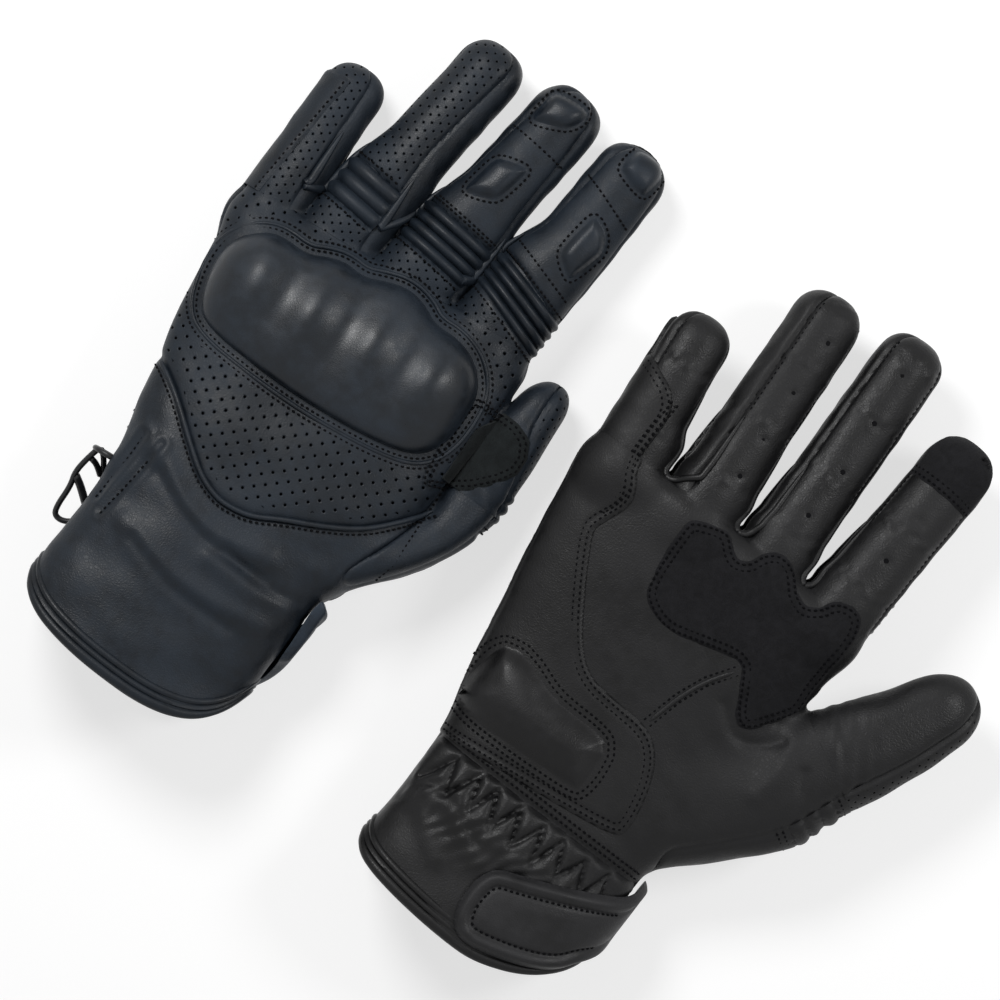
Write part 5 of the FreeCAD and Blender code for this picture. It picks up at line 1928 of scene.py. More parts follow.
@dataclass
class HandPanels(Bench):
    """The back, the palm and the two cuff panels, sewn at the sides, the V and the wrist."""

    tongue: float = 7.0
    hem_turn: float = 0.5
    guard_margin: float = 6.4
    hole_margin: float = 3.2
    depth: float = 1.5

    def gathers(self, points: np.ndarray, normals: np.ndarray) -> np.ndarray:
        """Work out the zigzag of tucks that the elastic draws into the cuff's palm side.

        Args:
            points: points on the leather, in the glove's millimetres.
            normals: the ways out at them.

        Returns:
            How far the leather rises at each point.
        """
        top = self.cut.wrist
        down = top - points[:, 1]
        facing = np.clip(-normals[:, 2] * 1.6, 0, 1)
        rng = np.random.default_rng(4)
        crossings = np.arange(-44.0, 36.0, 4.7)
        depths = np.where(np.arange(len(crossings)) % 2, 3.0, 14.0) + rng.uniform(-1.6, 1.6, len(crossings))
        zigzag = np.column_stack([crossings + rng.uniform(-0.9, 0.9, len(crossings)), top - depths])
        away = line_distance(points[:, :2], zigzag)
        tucks = 1.5 * (1 - np.exp(-((away / 2.2) ** 1.3))) - 1.0 * hump(away, 0.8)
        near = smooth_step(-0.5, 3.0, down) * smooth_step(26, 13, down)
        fan = points[:, 0] + 1.5 * noise(points, 14.0, 3) + 0.5 * down
        ripple = 0.22 * (np.sin(fan * 2 * math.pi / 5.2) + noise(points, 6.0, 9))
        ripple *= smooth_step(6, 14, down) * smooth_step(34, 20, down)
        return facing * (near * tucks + ripple)

    def build(self, skin: Sheet) -> None:
        """Make the four panels from the skin, with their seams, folds and tucks.

        Args:
            skin: the glove's whole skin.
        """
        form, cut = self.form, self.cut
        front = form.trunk.front + 1.0
        pairs = sorted(form.digits, key=lambda d: d.across)
        gaps = zip(pairs[:-1], pairs[1:])
        webs = [(low.across + low.root + high.across - high.root) / 2 for low, high in gaps]
        tongue = sum(hump(skin.points[:, 0] - x, 3.0) for x in webs)
        reach = front + self.tongue * tongue - skin.points[:, 1]
        body = skin.trimmed(np.minimum(reach, -self.thumb_front(skin.points)))
        body = body.trimmed(body.points[:, 1] - self.hem_line(body.points[:, 0]) - self.hem_turn).biggest()
        vee = np.asarray(cut.vee)

        def above_vee(points: np.ndarray) -> np.ndarray:
            """Measure how far points are above the V-shaped seam."""
            return (points[:, 1] - np.interp(points[:, 0], vee[:, 0], vee[:, 1])) * 0.8

        def share_wrist(points: np.ndarray) -> np.ndarray:
            """Measure how far points are above the wrist seam of the palm."""
            return points[:, 1] - cut.wrist

        back = body.trimmed(self.back_share(body.points))
        palm = body.trimmed(-self.back_share(body.points))
        parts = (
            ("back_panel", back, above_vee, self.finish.punched, True, 0.0),
            ("cuff_back", back, lambda p: -above_vee(p), self.finish.smooth, False, 0.0),
            ("palm_panel", palm, share_wrist, self.finish.palm, False, 1.0),
            ("cuff_palm", palm, lambda p: -share_wrist(p), self.finish.smooth, False, 1.0),
        )
        guard = np.asarray(cut.lines["guard"])
        for word, whole, share, finish, punched, gathered in parts:
            sheet = whole.trimmed(share(whole.points)).biggest()
            sign = 1 if whole is back else -1
            seam = np.maximum(np.minimum(share(sheet.points), sign * self.back_share(sheet.points)), 0)
            lift = 0.3 * (1 - hump(seam, 3.5)) - 0.75 * hump(seam, 1.2)
            lift += self.folds(sheet.points, sheet.normals) * smooth_step(0, 9, seam)
            lift += gathered * self.gathers(sheet.points, sheet.normals)
            lift += (1 - gathered) * self.thumb_ribs(sheet.points)
            lift -= 0.7 * smooth_step(front, front + 2.0, sheet.points[:, 1])
            holes: np.ndarray | float = 0.0
            if punched:
                clear = inside_distance(sheet.plan, guard) < -self.guard_margin
                holes = (clear & (seam > self.hole_margin) & (sheet.normals[:, 2] > 0.25)).astype(float)
            self.panel(word, sheet, finish, self.hand, (word,), lift, -self.depth, seam, None, holes)


@dataclass
class PalmOverlays(Bench):
    """The suede patch, the heel overlay and the padded slider, and the rows sewn on the palm."""

    mesh: float = 0.7
    pad_rise: float = 4.6
    pad_round: float = 4.2

    def build(self, skin: Sheet) -> None:
        """Lay the three overlays on the palm, and sew them, the gusset and the wrist.

        Args:
            skin: the glove's whole skin.
        """
        form, cut = self.form, self.cut
        outline = cornered(cut.lines["palm_patch"], 2.5)
        sheet = form.draped(outline, Face.PALM, self.mesh)
        deep = inside_distance(sheet.plan, outline)
        lift = 1.1 - 0.8 * hump(deep, 0.8) - 0.25 * hump(deep - 2.0, 0.6)
        lift += 0.25 * noise(sheet.points, 9.0, 31)
        self.panel("palm_patch", sheet, self.finish.suede, self.hand, ("palm_patch",), lift, -0.6, deep)
        self.stitched("palm_stitching", outline, Face.PALM, 1.1, (1.3, 3.4), closed=True)

        corners = np.asarray(cut.lines["heel_overlay"])
        outline = rounded(corners, times=2)
        ahead, side = self.front + 1.0 - skin.points[:, 1], -self.back_share(skin.points) - 0.8
        whole = skin.trimmed(np.minimum(ahead, side))
        sheet = whole.trimmed(inside_distance(whole.plan, outline)).biggest()
        side = np.maximum(-self.back_share(sheet.points) - 0.8, 0)
        deep = np.minimum(inside_distance(sheet.plan, outline), side)
        lift = 1.7 - 1.0 * hump(deep, 0.8) + 0.5 * self.folds(sheet.points, sheet.normals)
        lift -= 0.45 * hump(deep - 2.6, 1.3)
        self.panel("heel_overlay", sheet, self.finish.overlay, self.hand, ("heel_overlay",), lift, -0.5, deep)
        edge = rounded(corners[:-2], False, 2)
        self.stitched("palm_stitching", edge, Face.PALM, 1.3, (1.6, 3.7))

        outline = cornered(cut.lines["heel_pad"], 3.5)
        sheet = form.draped(outline, Face.PALM, self.mesh)
        deep = inside_distance(sheet.plan, outline)
        lift = (1 - np.exp(-((deep / self.pad_round) ** 1.5))) * (0.8 + 0.2 * smooth_step(0, 13, deep))
        lift = 1.6 + self.pad_rise * lift
        lift += 0.12 * noise(sheet.points, 16.0, 8)
        self.panel("heel_pad", sheet, self.finish.pad, self.hand, ("heel_pad",), lift, 0.4, deep, fill=0.8)
        self.stitched("palm_stitching", outline, Face.PALM, 1.7, (-1.3, -3.3), closed=True)

        gusset = np.asarray(cut.lines["gusset"])
        self.stitched("palm_stitching", gusset, Face.PALM, 0.25, (-1.5, 1.5))
        points, normals = self.row(rounded(gusset, False, 2), Face.PALM)
        self.piping("gusset_roll", points, normals, 0.9, 0.1, self.finish.palm, self.hand)
        wrist = [(x, cut.wrist) for x in np.linspace(-46, 34, 21)]
        self.stitched("palm_stitching", [(x, y + 1.6) for x, y in wrist], Face.PALM, 0.9, (0.0, 2.2))


@dataclass
class BackTrim(Bench):
    """The roll along the V seam, the elastic and the rows sewn on the back."""

    roll: float = 0.95

    def build(self, skin: Sheet) -> None:
        """Sew the V seam, the elastic and the rows round the guard.

        Args:
            skin: the glove's whole skin.
        """
        cut = self.cut
        vee = [p for p in cut.vee if abs(p[0]) < 64]
        line = rounded(vee, False, 2)
        points, normals = self.row(line, Face.BACK)
        self.piping("vee_roll", points, normals, self.roll, 0.45, self.finish.smooth, self.hand)
        self.stitched("back_stitching", line, Face.BACK, 0.75, (-2.0,))
        for key in ("elastic_a", "elastic_b"):
            self.stitched("back_stitching", cut.lines[key], Face.BACK, 0.15, (0.0,))
        outline = rounded(cut.lines["guard"], times=2)
        self.stitched("back_stitching", outline, Face.BACK, 0.4, (-1.8, -5.2), closed=True)
        edge = [p for p in np.asarray(cut.thumb_edge) if p[1] < self.front - 1]
        self.stitched("back_stitching", edge, Face.BACK, 0.2, (1.8,))


@dataclass
class KnuckleGuard(Bench):
    """The padded guard: a body as wide as its outline, with four lobes over the knuckles."""

    step: float = 0.7
    margin: float = 2.5
    below: float = 14.0
    above: float = 17.0
    rise: float = 8.4
    lobe: float = 4.6
    slope: float = 1.6
    power: float = 2.4
    welts: tuple[tuple[float, float], ...] = ((0.7, 0.95), (-3.4, 0.8))

    def build(self, skin: Sheet) -> None:
        """Mould the guard as a distance field, mesh it, and roll the two welts round it.

        Args:
            skin: the glove's whole skin.
        """
        form = self.form
        outline = rounded(self.cut.lines["guard"], times=2)
        middle = outline.mean(axis=0)
        base = form.height(middle[None], Face.BACK)[0]
        low = np.array([*(outline.min(axis=0) - self.margin), base - self.below])
        high = np.array([*(outline.max(axis=0) + self.margin), base + self.above])
        axes = [np.arange(a, b, self.step) for a, b in zip(low, high)]
        x, y, z = np.meshgrid(*axes, indexing="ij")
        places = np.stack([x[:, :, 0], y[:, :, 0]], -1).reshape(-1, 2)
        deep = inside_distance(places, outline)
        floor = np.nan_to_num(form.height(places, Face.BACK), nan=base - 12)
        crowns = np.zeros(len(places))
        for across, along, wide, long in self.cut.guard:
            aside, ahead = (places[:, 0] - across) / (wide * 0.6), (places[:, 1] - along - 5) / (long * 0.78)
            crowns += np.exp(-(aside ** 2) - ahead ** 2)
        wrist = smooth_step(middle[1] + 4, middle[1] - 22, places[:, 1])
        top = self.rise + self.lobe * np.clip(crowns, 0, 1.1) - self.slope * wrist
        side = np.clip(1 - deep / (8.0 + 7.0 * wrist), 0, None)
        shape = x.shape
        deep, floor, top, side = (np.repeat(v, shape[2]).reshape(shape) for v in (deep, floor, top, side))
        up = np.clip((z - floor) / top, 0, None)
        wall = ((side ** self.power + up ** self.power + 1e-9) ** (1 / self.power) - 1) * 8.0
        wall = np.maximum(np.maximum(wall, -deep), floor - 0.9 - z)
        points, faces = meshed(wall, self.step, low)
        inward = np.cross(points[faces[:, 1]] - points[faces[:, 0]],
                          points[faces[:, 2]] - points[faces[:, 0]])
        if np.einsum("ij,ij->i", inward, points[faces].mean(axis=1) - points.mean(axis=0)).mean() < 0:
            faces = faces[:, ::-1]
        self.piece("knuckle_guard", points, faces, self.finish.guard, self.hand, ("knuckle_guard",),
                   np.maximum(inside_distance(points[:, :2], outline), 0) + 1.5, fill=0.9)
        path = np.vstack([outline, outline[:1]])
        for number, (gap, radius) in enumerate(self.welts):
            points, normals = self.row(path + left_of(path) * gap * turning(outline), Face.BACK)
            self.piping(f"guard_welt_{number}", points, normals, radius, 0.15, self.finish.smooth, self.hand,
                        0.3)


@dataclass
class CuffBinding(Bench):
    """The binding round the cuff's end; its profile is given as distances inward and outward."""

    steps: int = 260
    profile: tuple[tuple[float, float], ...] = (
        (7.2, 0.0), (7.1, 0.7), (6.3, 1.15), (5.3, 1.1), (4.7, 0.45), (4.1, 1.15), (3.1, 1.3), (2.5, 0.6),
        (1.9, 1.3), (0.9, 1.35), (-0.2, 1.1), (-1.0, 0.3), (-1.3, -0.8), (-1.0, -1.9), (-0.2, -2.6),
        (1.5, -2.9), (5.0, -2.8), (6.8, -2.4), (7.1, -1.6))

    def build(self, skin: Sheet) -> None:
        """Turn the binding over the cuff's end, with its two grooves.

        Args:
            skin: the glove's whole skin.
        """
        trunk = self.form.trunk
        angle = np.linspace(0, 2 * math.pi, self.steps, endpoint=False)
        across = trunk.ring(np.full(len(angle), self.cut.hem[len(self.cut.hem) // 2][1]), angle)[:, 0]
        edge = self.hem_line(across)
        rings = [trunk.ring(edge + inward, angle, proud) for inward, proud in self.profile]
        points = np.stack(rings, 1).reshape(-1, 3)
        index = np.arange(len(points)).reshape(len(angle), len(self.profile))
        a, b = index, np.roll(index, -1, axis=0)
        c, d = np.roll(b, -1, axis=1), np.roll(a, -1, axis=1)
        faces = np.concatenate([np.stack(half, -1).reshape(-1, 3) for half in ((a, c, b), (a, d, c))])
        self.piece("cuff_binding", points, faces, self.finish.binding, self.hand, ("cuff_binding",))


@dataclass
class WristStrap(Bench):
    """The wrist strap with its rolled border and the two tapes under it, wrapped round the cuff."""

    behind: float = 151.0
    roll: float = 2.0
    sewn_in: float = 6.1
    sewn_to: float = 44.0

    @property
    def middle(self) -> float:
        """Where along the cuff the strap's middle runs."""
        return self.front - self.behind

    def wrap(self, places: np.ndarray, proud: np.ndarray | float) -> np.ndarray:
        """Wrap places of the strap's flat pattern round the cuff's palm side and thumb side.

        Args:
            places: points of the flat pattern, which is the plan where the cuff is flat.
            proud: how far off the cuff each is.

        Returns:
            The points in space.
        """
        trunk, middle = self.form.trunk, self.middle
        slack = self.cut.slack * hump(places[:, 0] - 54, 7.0)
        slack = slack * smooth_step(middle + 2, middle + 34, places[:, 1])
        ahead = places[:, 1] + 5.0 * self.cut.slack * smooth_step(36, 54, places[:, 0])
        places = np.column_stack([places[:, 0], ahead])
        sweep = np.linspace(-math.pi * 1.05, math.pi / 3, 500)
        track = trunk.ring(np.full(500, middle), sweep)
        length = np.concatenate([[0], np.cumsum(np.linalg.norm(np.diff(track, axis=0), axis=1))])
        start = np.interp(-math.pi / 2, sweep, length)
        centre = trunk.section(np.array([middle]))[0][0]
        angle = np.interp(places[:, 0] - centre + start, length, sweep)
        flat = trunk.ring(places[:, 1], angle)
        spread = trunk.ring(places[:, 1], angle + 0.01) - trunk.ring(places[:, 1], angle - 0.01)
        out = unit(np.column_stack([spread[:, 2], np.zeros(len(flat)), -spread[:, 0]]))
        return flat + out * (np.broadcast_to(proud, len(flat)) + slack)[:, None]

    def net(self, outline: np.ndarray, spacing: float) -> tuple[Sheet, np.ndarray]:
        """Spread a flat net inside an outline of the strap's pattern, with each point's depth inside it.

        Args:
            outline: the closed outline, in the plan.
            spacing: the size of the net's mesh.

        Returns:
            The flat sheet, and each point's depth.
        """
        places, size = net_over(outline, spacing)
        points, normals = (np.column_stack([places * k, np.full(len(places), 1.0 - k)]) for k in (1.0, 0.0))
        flat = Sheet(points, normals, net_faces(*size, under=True)).trimmed(inside_distance(places, outline))
        return flat, np.maximum(inside_distance(flat.plan, outline), 0)

    def strip(self, word: str, outline: np.ndarray, outer: Callable[[np.ndarray], np.ndarray], inner: float,
              finish: Finish, carrier: Carrier, spacing: float, fill: float | None = None) -> None:
        """Make one layer that wraps the cuff.

        Args:
            word: the piece's name.
            outline: its outline on the flat pattern.
            outer: its outer face's height from each point's depth inside the outline.
            inner: its inner face's height.
            finish: its finish.
            carrier: what it moves with.
            spacing: the size of its net.
            fill: how full it is, where it is padded.
        """
        flat, deep = self.net(outline, spacing)
        top, low = self.wrap(flat.plan, outer(deep)), self.wrap(flat.plan, inner)
        made = Sheet(low, top - low, flat.faces)
        points, faces = made.shell(np.ones(len(top)), np.zeros(len(top)))
        pattern = np.vstack([flat.points, flat.points])
        self.piece(word, points, faces, finish, carrier, (word,), np.concatenate([deep, deep]), pattern,
                   fill=fill)

    def build(self, skin: Sheet) -> None:
        """Make the strap and the tapes, and sew the row inside the strap's border.

        Args:
            skin: the glove's whole skin.
        """
        strap = Carrier(self.name("wrist_strap"))
        outline = rounded(self.cut.lines["strap"], times=3)

        def border(deep: np.ndarray) -> np.ndarray:
            """Roll the strap's edge and sink its stitch line."""
            lift = 1.9 + self.roll * (1 - np.exp(-((deep / 1.1) ** 1.5))) + 0.75 * hump(deep - 2.7, 1.7)
            return lift - 0.75 * hump(deep - 5.7, 0.8) + 0.12 * np.clip(deep - 6, 0, 4)

        self.strip("strap", outline, border, 1.7, self.finish.strap, strap, 0.7, 0.4)
        tapes = (("loop_tape", 0.85, 0.2, self.finish.loop, self.hand),
                 ("hook_tape", 1.65, 0.95, self.finish.hook, strap))
        for word, high, low, finish, carrier in tapes:
            edge = rounded(self.cut.lines[word], times=2)
            self.strip(word, edge, lambda deep, top=high: np.full(len(deep), top), low, finish, carrier, 1.2)
        path = walked(np.vstack([outline, outline[:1]]), 0.8)
        inset = path + turning(outline) * left_of(path) * self.sewn_in
        centre = self.form.trunk.section(np.array([self.middle]))[0][0]
        inset = inset[inset[:, 0] < centre + self.sewn_to]
        points, off = self.wrap(inset, 3.55), self.wrap(inset, 4.55)
        start = int(np.argmax(np.linalg.norm(np.diff(points, axis=0), axis=1)))
        points, off = (np.roll(a, -start - 1, axis=0) for a in (points, off))
        self.thread("strap_stitching", strap).sew(points[1:-1], (off - points)[1:-1], 0.0)


@dataclass
class Fingers(Bench):
    """The four fingers: panels, gussets, accordions, pads, patches, webs and seams."""

    depth: float = 1.5
    rib_rows: int = 14
    rib_columns: int = 40
    rib_height: float = 2.1
    pad_height: float = 2.2
    touch_reach: float = 22.0
    web_roll: dict[Face, float] = field(default_factory=lambda: {Face.BACK: 1.7, Face.PALM: 1.3})
    side_edge: tuple[tuple[float, float], tuple[float, float]] = ((0, 45), (-32, -12))

    def build(self, skin: Sheet) -> None:
        """Share the skin out between the fingers and make each.

        Args:
            skin: the glove's whole skin.
        """
        form = self.form
        front = form.trunk.front
        ahead = skin.trimmed(skin.points[:, 1] - front - 1.0)
        thumb = form.thumb.distance(*ahead.points.T)
        nearest = np.stack([d.distance(*ahead.points.T, front) for d in form.digits], 1)
        ahead = ahead.trimmed(thumb - nearest.min(axis=1))
        nearest = np.stack([d.distance(*ahead.points.T, front) for d in form.digits], 1)
        for number, digit in enumerate(form.digits):
            others = np.delete(nearest, number, axis=1).min(axis=1)
            own = ahead.trimmed((others - nearest[:, number]) / 2).biggest()
            self.build_finger(digit, own)
        self.roll_webs()

    def seam_angle(self, stops: Sequence[float] | float, along: np.ndarray, long: float) -> np.ndarray:
        """Read a seam's angle at a place along its finger.

        Args:
            stops: the seam's angles at the root, the middle and the tip, or one for its whole length.
            along: places along the finger.
            long: the finger's length.

        Returns:
            The seam's angle at each place.
        """
        if isinstance(stops, (int, float)):
            return np.full(len(along), float(stops))
        return through((0.0, long * 0.5, long), stops, along)

    def build_finger(self, digit: Digit, own: Sheet) -> None:
        """Cut one finger into its panels and trim it.

        Args:
            digit: the finger.
            own: its part of the skin.
        """
        seams, front = SEAMS[digit.name], self.front
        carrier = self.digit_carrier(digit)
        word = digit.name

        def read(points: np.ndarray) -> tuple[np.ndarray, ...]:
            """Read each point's place along the finger and its distances from the seams.

            Args:
                points: the points.

            Returns:
                The readings, in that order.
            """
            spots = digit.local(points, front)
            along, size = spots[:, 1], digit.radius(spots[:, 1]) * math.pi / 180
            angle = digit.angle(spots)
            low, high = (self.seam_angle(s, along, digit.long) for s in seams.backs)
            back = np.minimum(angle - low, high - angle) * size
            under = np.maximum(angle - seams.front_high, seams.front_low - angle) * size
            return along, back, under, angle, spots[:, 0]

        def flexed(points: np.ndarray) -> np.ndarray:
            """Measure how far points are inside the accordion's window.

            Args:
                points: points in the glove's millimetres.

            Returns:
                Each point's depth inside the window.
            """
            spots = digit.local(points, front)
            lean = seams.flex_lean * spots[:, 0]
            return np.minimum(spots[:, 1] + lean - seams.flex_from, seams.flex_to - lean * 0.85 - spots[:, 1])

        parts = {"back": self.finish.punched, "front": self.finish.palm,
                 "gusset_low": self.finish.gusset, "gusset_high": self.finish.gusset}
        for part, finish in parts.items():
            nodes = (f"{word}_{part}",) if part in ("back", "front") else ()
            _, back, under, angle, _ = read(own.points)
            if part == "back":
                sheet = own.trimmed(back)
                if seams.ribs:
                    sheet = sheet.trimmed(-flexed(sheet.points))
            elif part == "front":
                sheet = own.trimmed(under)
            else:
                way = 1.0 if part == "gusset_high" else -1.0
                sheet = own.trimmed(np.minimum(np.minimum(-back, -under), way * angle * 0.2))
            sheet = sheet.biggest(30)
            along, back, under, angle, across = read(sheet.points)
            gaps = {"back": np.abs(back), "front": np.abs(under)}
            seam = gaps.get(part, np.minimum(gaps["back"], gaps["front"]))
            if part == "back" and seams.ribs:
                seam = np.minimum(seam, np.abs(flexed(sheet.points)))
            grow = smooth_step(0, 7, along)
            lift = grow * (0.35 * (1 - hump(seam, 2.4)) - 0.95 * hump(seam, 0.9))
            lift += 0.16 * noise(sheet.points, 15.0, 40)
            if part == "front":
                lift += 0.28 * np.exp(-(((along % 24) - 12) / 3.0) ** 2) * noise(sheet.points, 5.0, 43)
                for vent_along, vent_across in VENTS.get(word, ()):
                    away = np.hypot(along - vent_along, across - vent_across * digit.root)
                    lift -= 0.45 * hump(away, 1.5) * (np.abs(angle) > 90)
            elif part != "back":
                slant = along + 0.8 * digit.root * np.radians(angle)
                crumple = noise(np.column_stack([slant, angle / 9.0]), 12.0, 41)
                lift += 0.14 * crumple * smooth_step(0, 3.0, seam)
            pattern = np.column_stack([across, along, 0 * along]) * FINE_HOLES
            holes = ((seam > 1.6) & (part == "back") & (along < digit.long + 2)).astype(float)
            holes *= (along < seams.flex_from) | seams.punched
            self.panel(f"{word}_{part}", sheet, finish, carrier, nodes, lift, -self.depth, seam, pattern,
                       holes)
        if seams.ribs:
            self.build_flex(digit, seams, carrier)
        self.trim_finger(digit, seams, carrier)
        if word in ("index", "middle"):
            self.build_pads(digit, carrier)
        if word == "index":
            self.build_touch_patch(digit, own, read, carrier)
        if word == "pinky":
            self.build_side_patch(digit, own, read, carrier)

    def roll_webs(self) -> None:
        """Lay the rolled edges that turn round the webs, on the back and on the palm."""
        form = self.form
        front = form.trunk.front
        pairs = sorted(form.digits, key=lambda d: d.across)
        for low, high in zip(pairs[:-1], pairs[1:]):
            for face in Face:
                seams = SEAMS[low.name], SEAMS[high.name]
                reach = np.arange(34.0, 7.0, -0.9)
                if face is Face.BACK:
                    first = self.seam_angle(seams[0].back_high, reach, low.long) + 5
                    second = np.maximum(self.seam_angle(seams[1].back_low, reach, high.long) - 4, -76)
                else:
                    first = np.full(len(reach), seams[0].front_high + 6.0)
                    second = np.full(len(reach), seams[1].front_low - 6.0)
                one, _, good_one = self.around(low, reach, first)
                two, _, good_two = self.around(high, reach[::-1], second[::-1])
                one, two = one[good_one], two[good_two]
                if len(one) < 8 or len(two) < 8:
                    continue
                floor = (one[-1] + two[0]) / 2
                sweep, rise = np.meshgrid(floor[0] + np.arange(-5, 5.1, 0.5),
                                          np.arange(front - 4.0, front + 12.0, 0.4), indexing="ij")
                tall = form.height(np.column_stack([sweep.ravel(), rise.ravel()]), face).reshape(sweep.shape)
                bare = np.where(np.isnan(tall).any(axis=1), np.isnan(tall).argmax(axis=1), tall.shape[1])
                column = int(bare.argmin())
                row = max(int(bare[column]) - 4, 0)
                bottom = np.array([sweep[column, row], rise[column, row], tall[column, row]])
                sides = [side[side[:, 1] > bottom[1] + 2] for side in (one, two)]
                path = rounded(np.vstack([sides[0], bottom[None], sides[1]]), False, 3)
                path = path - form.outward(path) * form.read(path)[:, None]
                middle = int(np.argmin(np.linalg.norm(path - bottom, axis=1)))
                halves = ((low, "high", path[:middle + 2], (16.0, 0.6)),
                          (high, "low", path[middle - 1:], (0.6, 16.0)))
                for digit, end, half, taper in halves:
                    self.piping(f"{digit.name}_{face.name.lower()}_web_{end}", half, form.outward(half),
                                self.web_roll[face], 0.1, self.finish.flex, self.digit_carrier(digit), taper)

    def around(self, digit: Digit, along: np.ndarray, angle: np.ndarray) -> Spots:
        """Find places on a finger's skin by their place along it and angle round it.

        Args:
            digit: the finger.
            along: places along it.
            angle: angles from its back, in degrees, growing towards the thumb.

        Returns:
            The points, the ways out, and whether each is on this finger's own skin.
        """
        front = self.front
        shift, wide = digit.width(along)
        turn = np.radians(angle)
        start = digit.world(np.column_stack([shift, along, 0 * along]), front)
        side, _, up = digit.axes()
        way = np.sin(turn)[:, None] * side * (wide / digit.radius(along))[:, None]
        way = way + np.cos(turn)[:, None] * up
        points, found = self.form.cast(start, unit(way), 26.0)
        reach = np.linalg.norm(points - start, axis=1)
        found &= reach < wide * 1.22
        return points, self.form.outward(points), found

    def build_flex(self, digit: Digit, seams: Seams, carrier: Carrier) -> None:
        """Fold the accordion panel at the finger's root.

        Args:
            digit: the finger.
            seams: where its panels meet.
            carrier: what it moves with.
        """
        rows, columns = seams.ribs * self.rib_rows + 9, self.rib_columns
        t, u = np.meshgrid(np.linspace(-0.07, 1.07, rows), np.linspace(0, 1, columns), indexing="ij")
        middle = (seams.flex_from + seams.flex_to) / 2
        low, high = (self.seam_angle(s, np.array([middle]), digit.long)[0] for s in seams.backs)
        angle = low - 1 + (high - low + 2) * u
        across = np.sin(np.radians(angle)) * digit.radius(np.array([middle]))[0]
        start = seams.flex_from - seams.flex_lean * across
        end = seams.flex_to - seams.flex_lean * 0.85 * across
        along = start + (end - start) * t
        points, normals, found = self.around(digit, along.ravel(), angle.ravel())
        if found.mean() < 0.98:
            points = self.patched(points, found, rows, columns)
        sheet = Sheet(points, normals, net_faces(rows, columns, under=True))
        rib = np.abs(np.sin(math.pi * seams.ribs * np.clip(t.ravel(), 0, 1))) ** 0.62
        ends = smooth_step(0, 0.06, u.ravel()) * smooth_step(1, 0.94, u.ravel())
        lift = (self.rib_height * rib - 1.0) * (0.35 + 0.65 * ends)
        self.panel(f"{digit.name}_flex", sheet, self.finish.flex, carrier, (f"{digit.name}_flex",), lift,
                   -2.0)

    @staticmethod
    def patched(points: np.ndarray, found: np.ndarray, rows: int, columns: int) -> np.ndarray:
        """Fill net points that missed the skin from their neighbours in the same row.

        Args:
            points: points in the glove's millimetres.
            found: whether each point was found.
            rows: how many rows the net has.
            columns: how many points a row has.

        Returns:
            The whole net's points.
        """
        net = points.reshape(rows, columns, 3).copy()
        good = found.reshape(rows, columns)
        for k in range(rows):
            if good[k].any():
                for axis in range(3):
                    known = np.flatnonzero(good[k])
                    net[k, :, axis] = np.interp(np.arange(columns), known, net[k, known, axis])
        return net.reshape(-1, 3)

    def trim_finger(self, digit: Digit, seams: Seams, carrier: Carrier) -> None:
        """Sew the palm-side seams and the accordion's edges, and paint each vent's opening with a near-black
        disc of painted shade.

        Args:
            digit: the finger.
            seams: where its panels meet.
            carrier: what it moves with.
        """
        word = f"{digit.name}_stitching"
        along = np.arange(6.0, digit.long - 6, 0.7)
        for face_angle, way in ((seams.front_low, -1), (seams.front_high, 1)):
            beside = face_angle + way * 1.7 / digit.radius(along) * 180 / math.pi
            points, normals, found = self.around(digit, along, beside)
            run = np.flatnonzero(found)
            if len(run) > 6:
                run = np.arange(run[0], run[-1] + 1)[found[run[0]:run[-1] + 1]]
                self.thread(word, carrier).sew(points[run], normals[run], 0.1, thick=0.24)
        if seams.ribs:
            for edge, gap in ((seams.flex_from, -1.6), (seams.flex_to, 1.6)):
                low, high = (self.seam_angle(s, np.array([edge]), digit.long)[0] for s in seams.backs)
                angle = np.linspace(low + 14, high - 14, 30)
                across = np.sin(np.radians(angle)) * digit.root
                lean = seams.flex_lean * (1.0 if gap < 0 else 0.85)
                points, normals, found = self.around(digit, edge + gap - lean * across, angle)
                if found.sum() > 6:
                    self.thread(word, carrier).sew(points[found], normals[found], 0.4)
        # Each vent gets a near-black disc in the thread's finish: painted shade for its opening.
        for vent_along, vent_across in VENTS.get(digit.name, ()):
            angle = 180 - math.degrees(math.asin(vent_across))
            points, normals, found = self.around(digit, np.array([float(vent_along)]), np.array([angle]))
            if found[0]:
                self.thread(word, carrier).dot(points[0], normals[0], 1.0, 0.1)

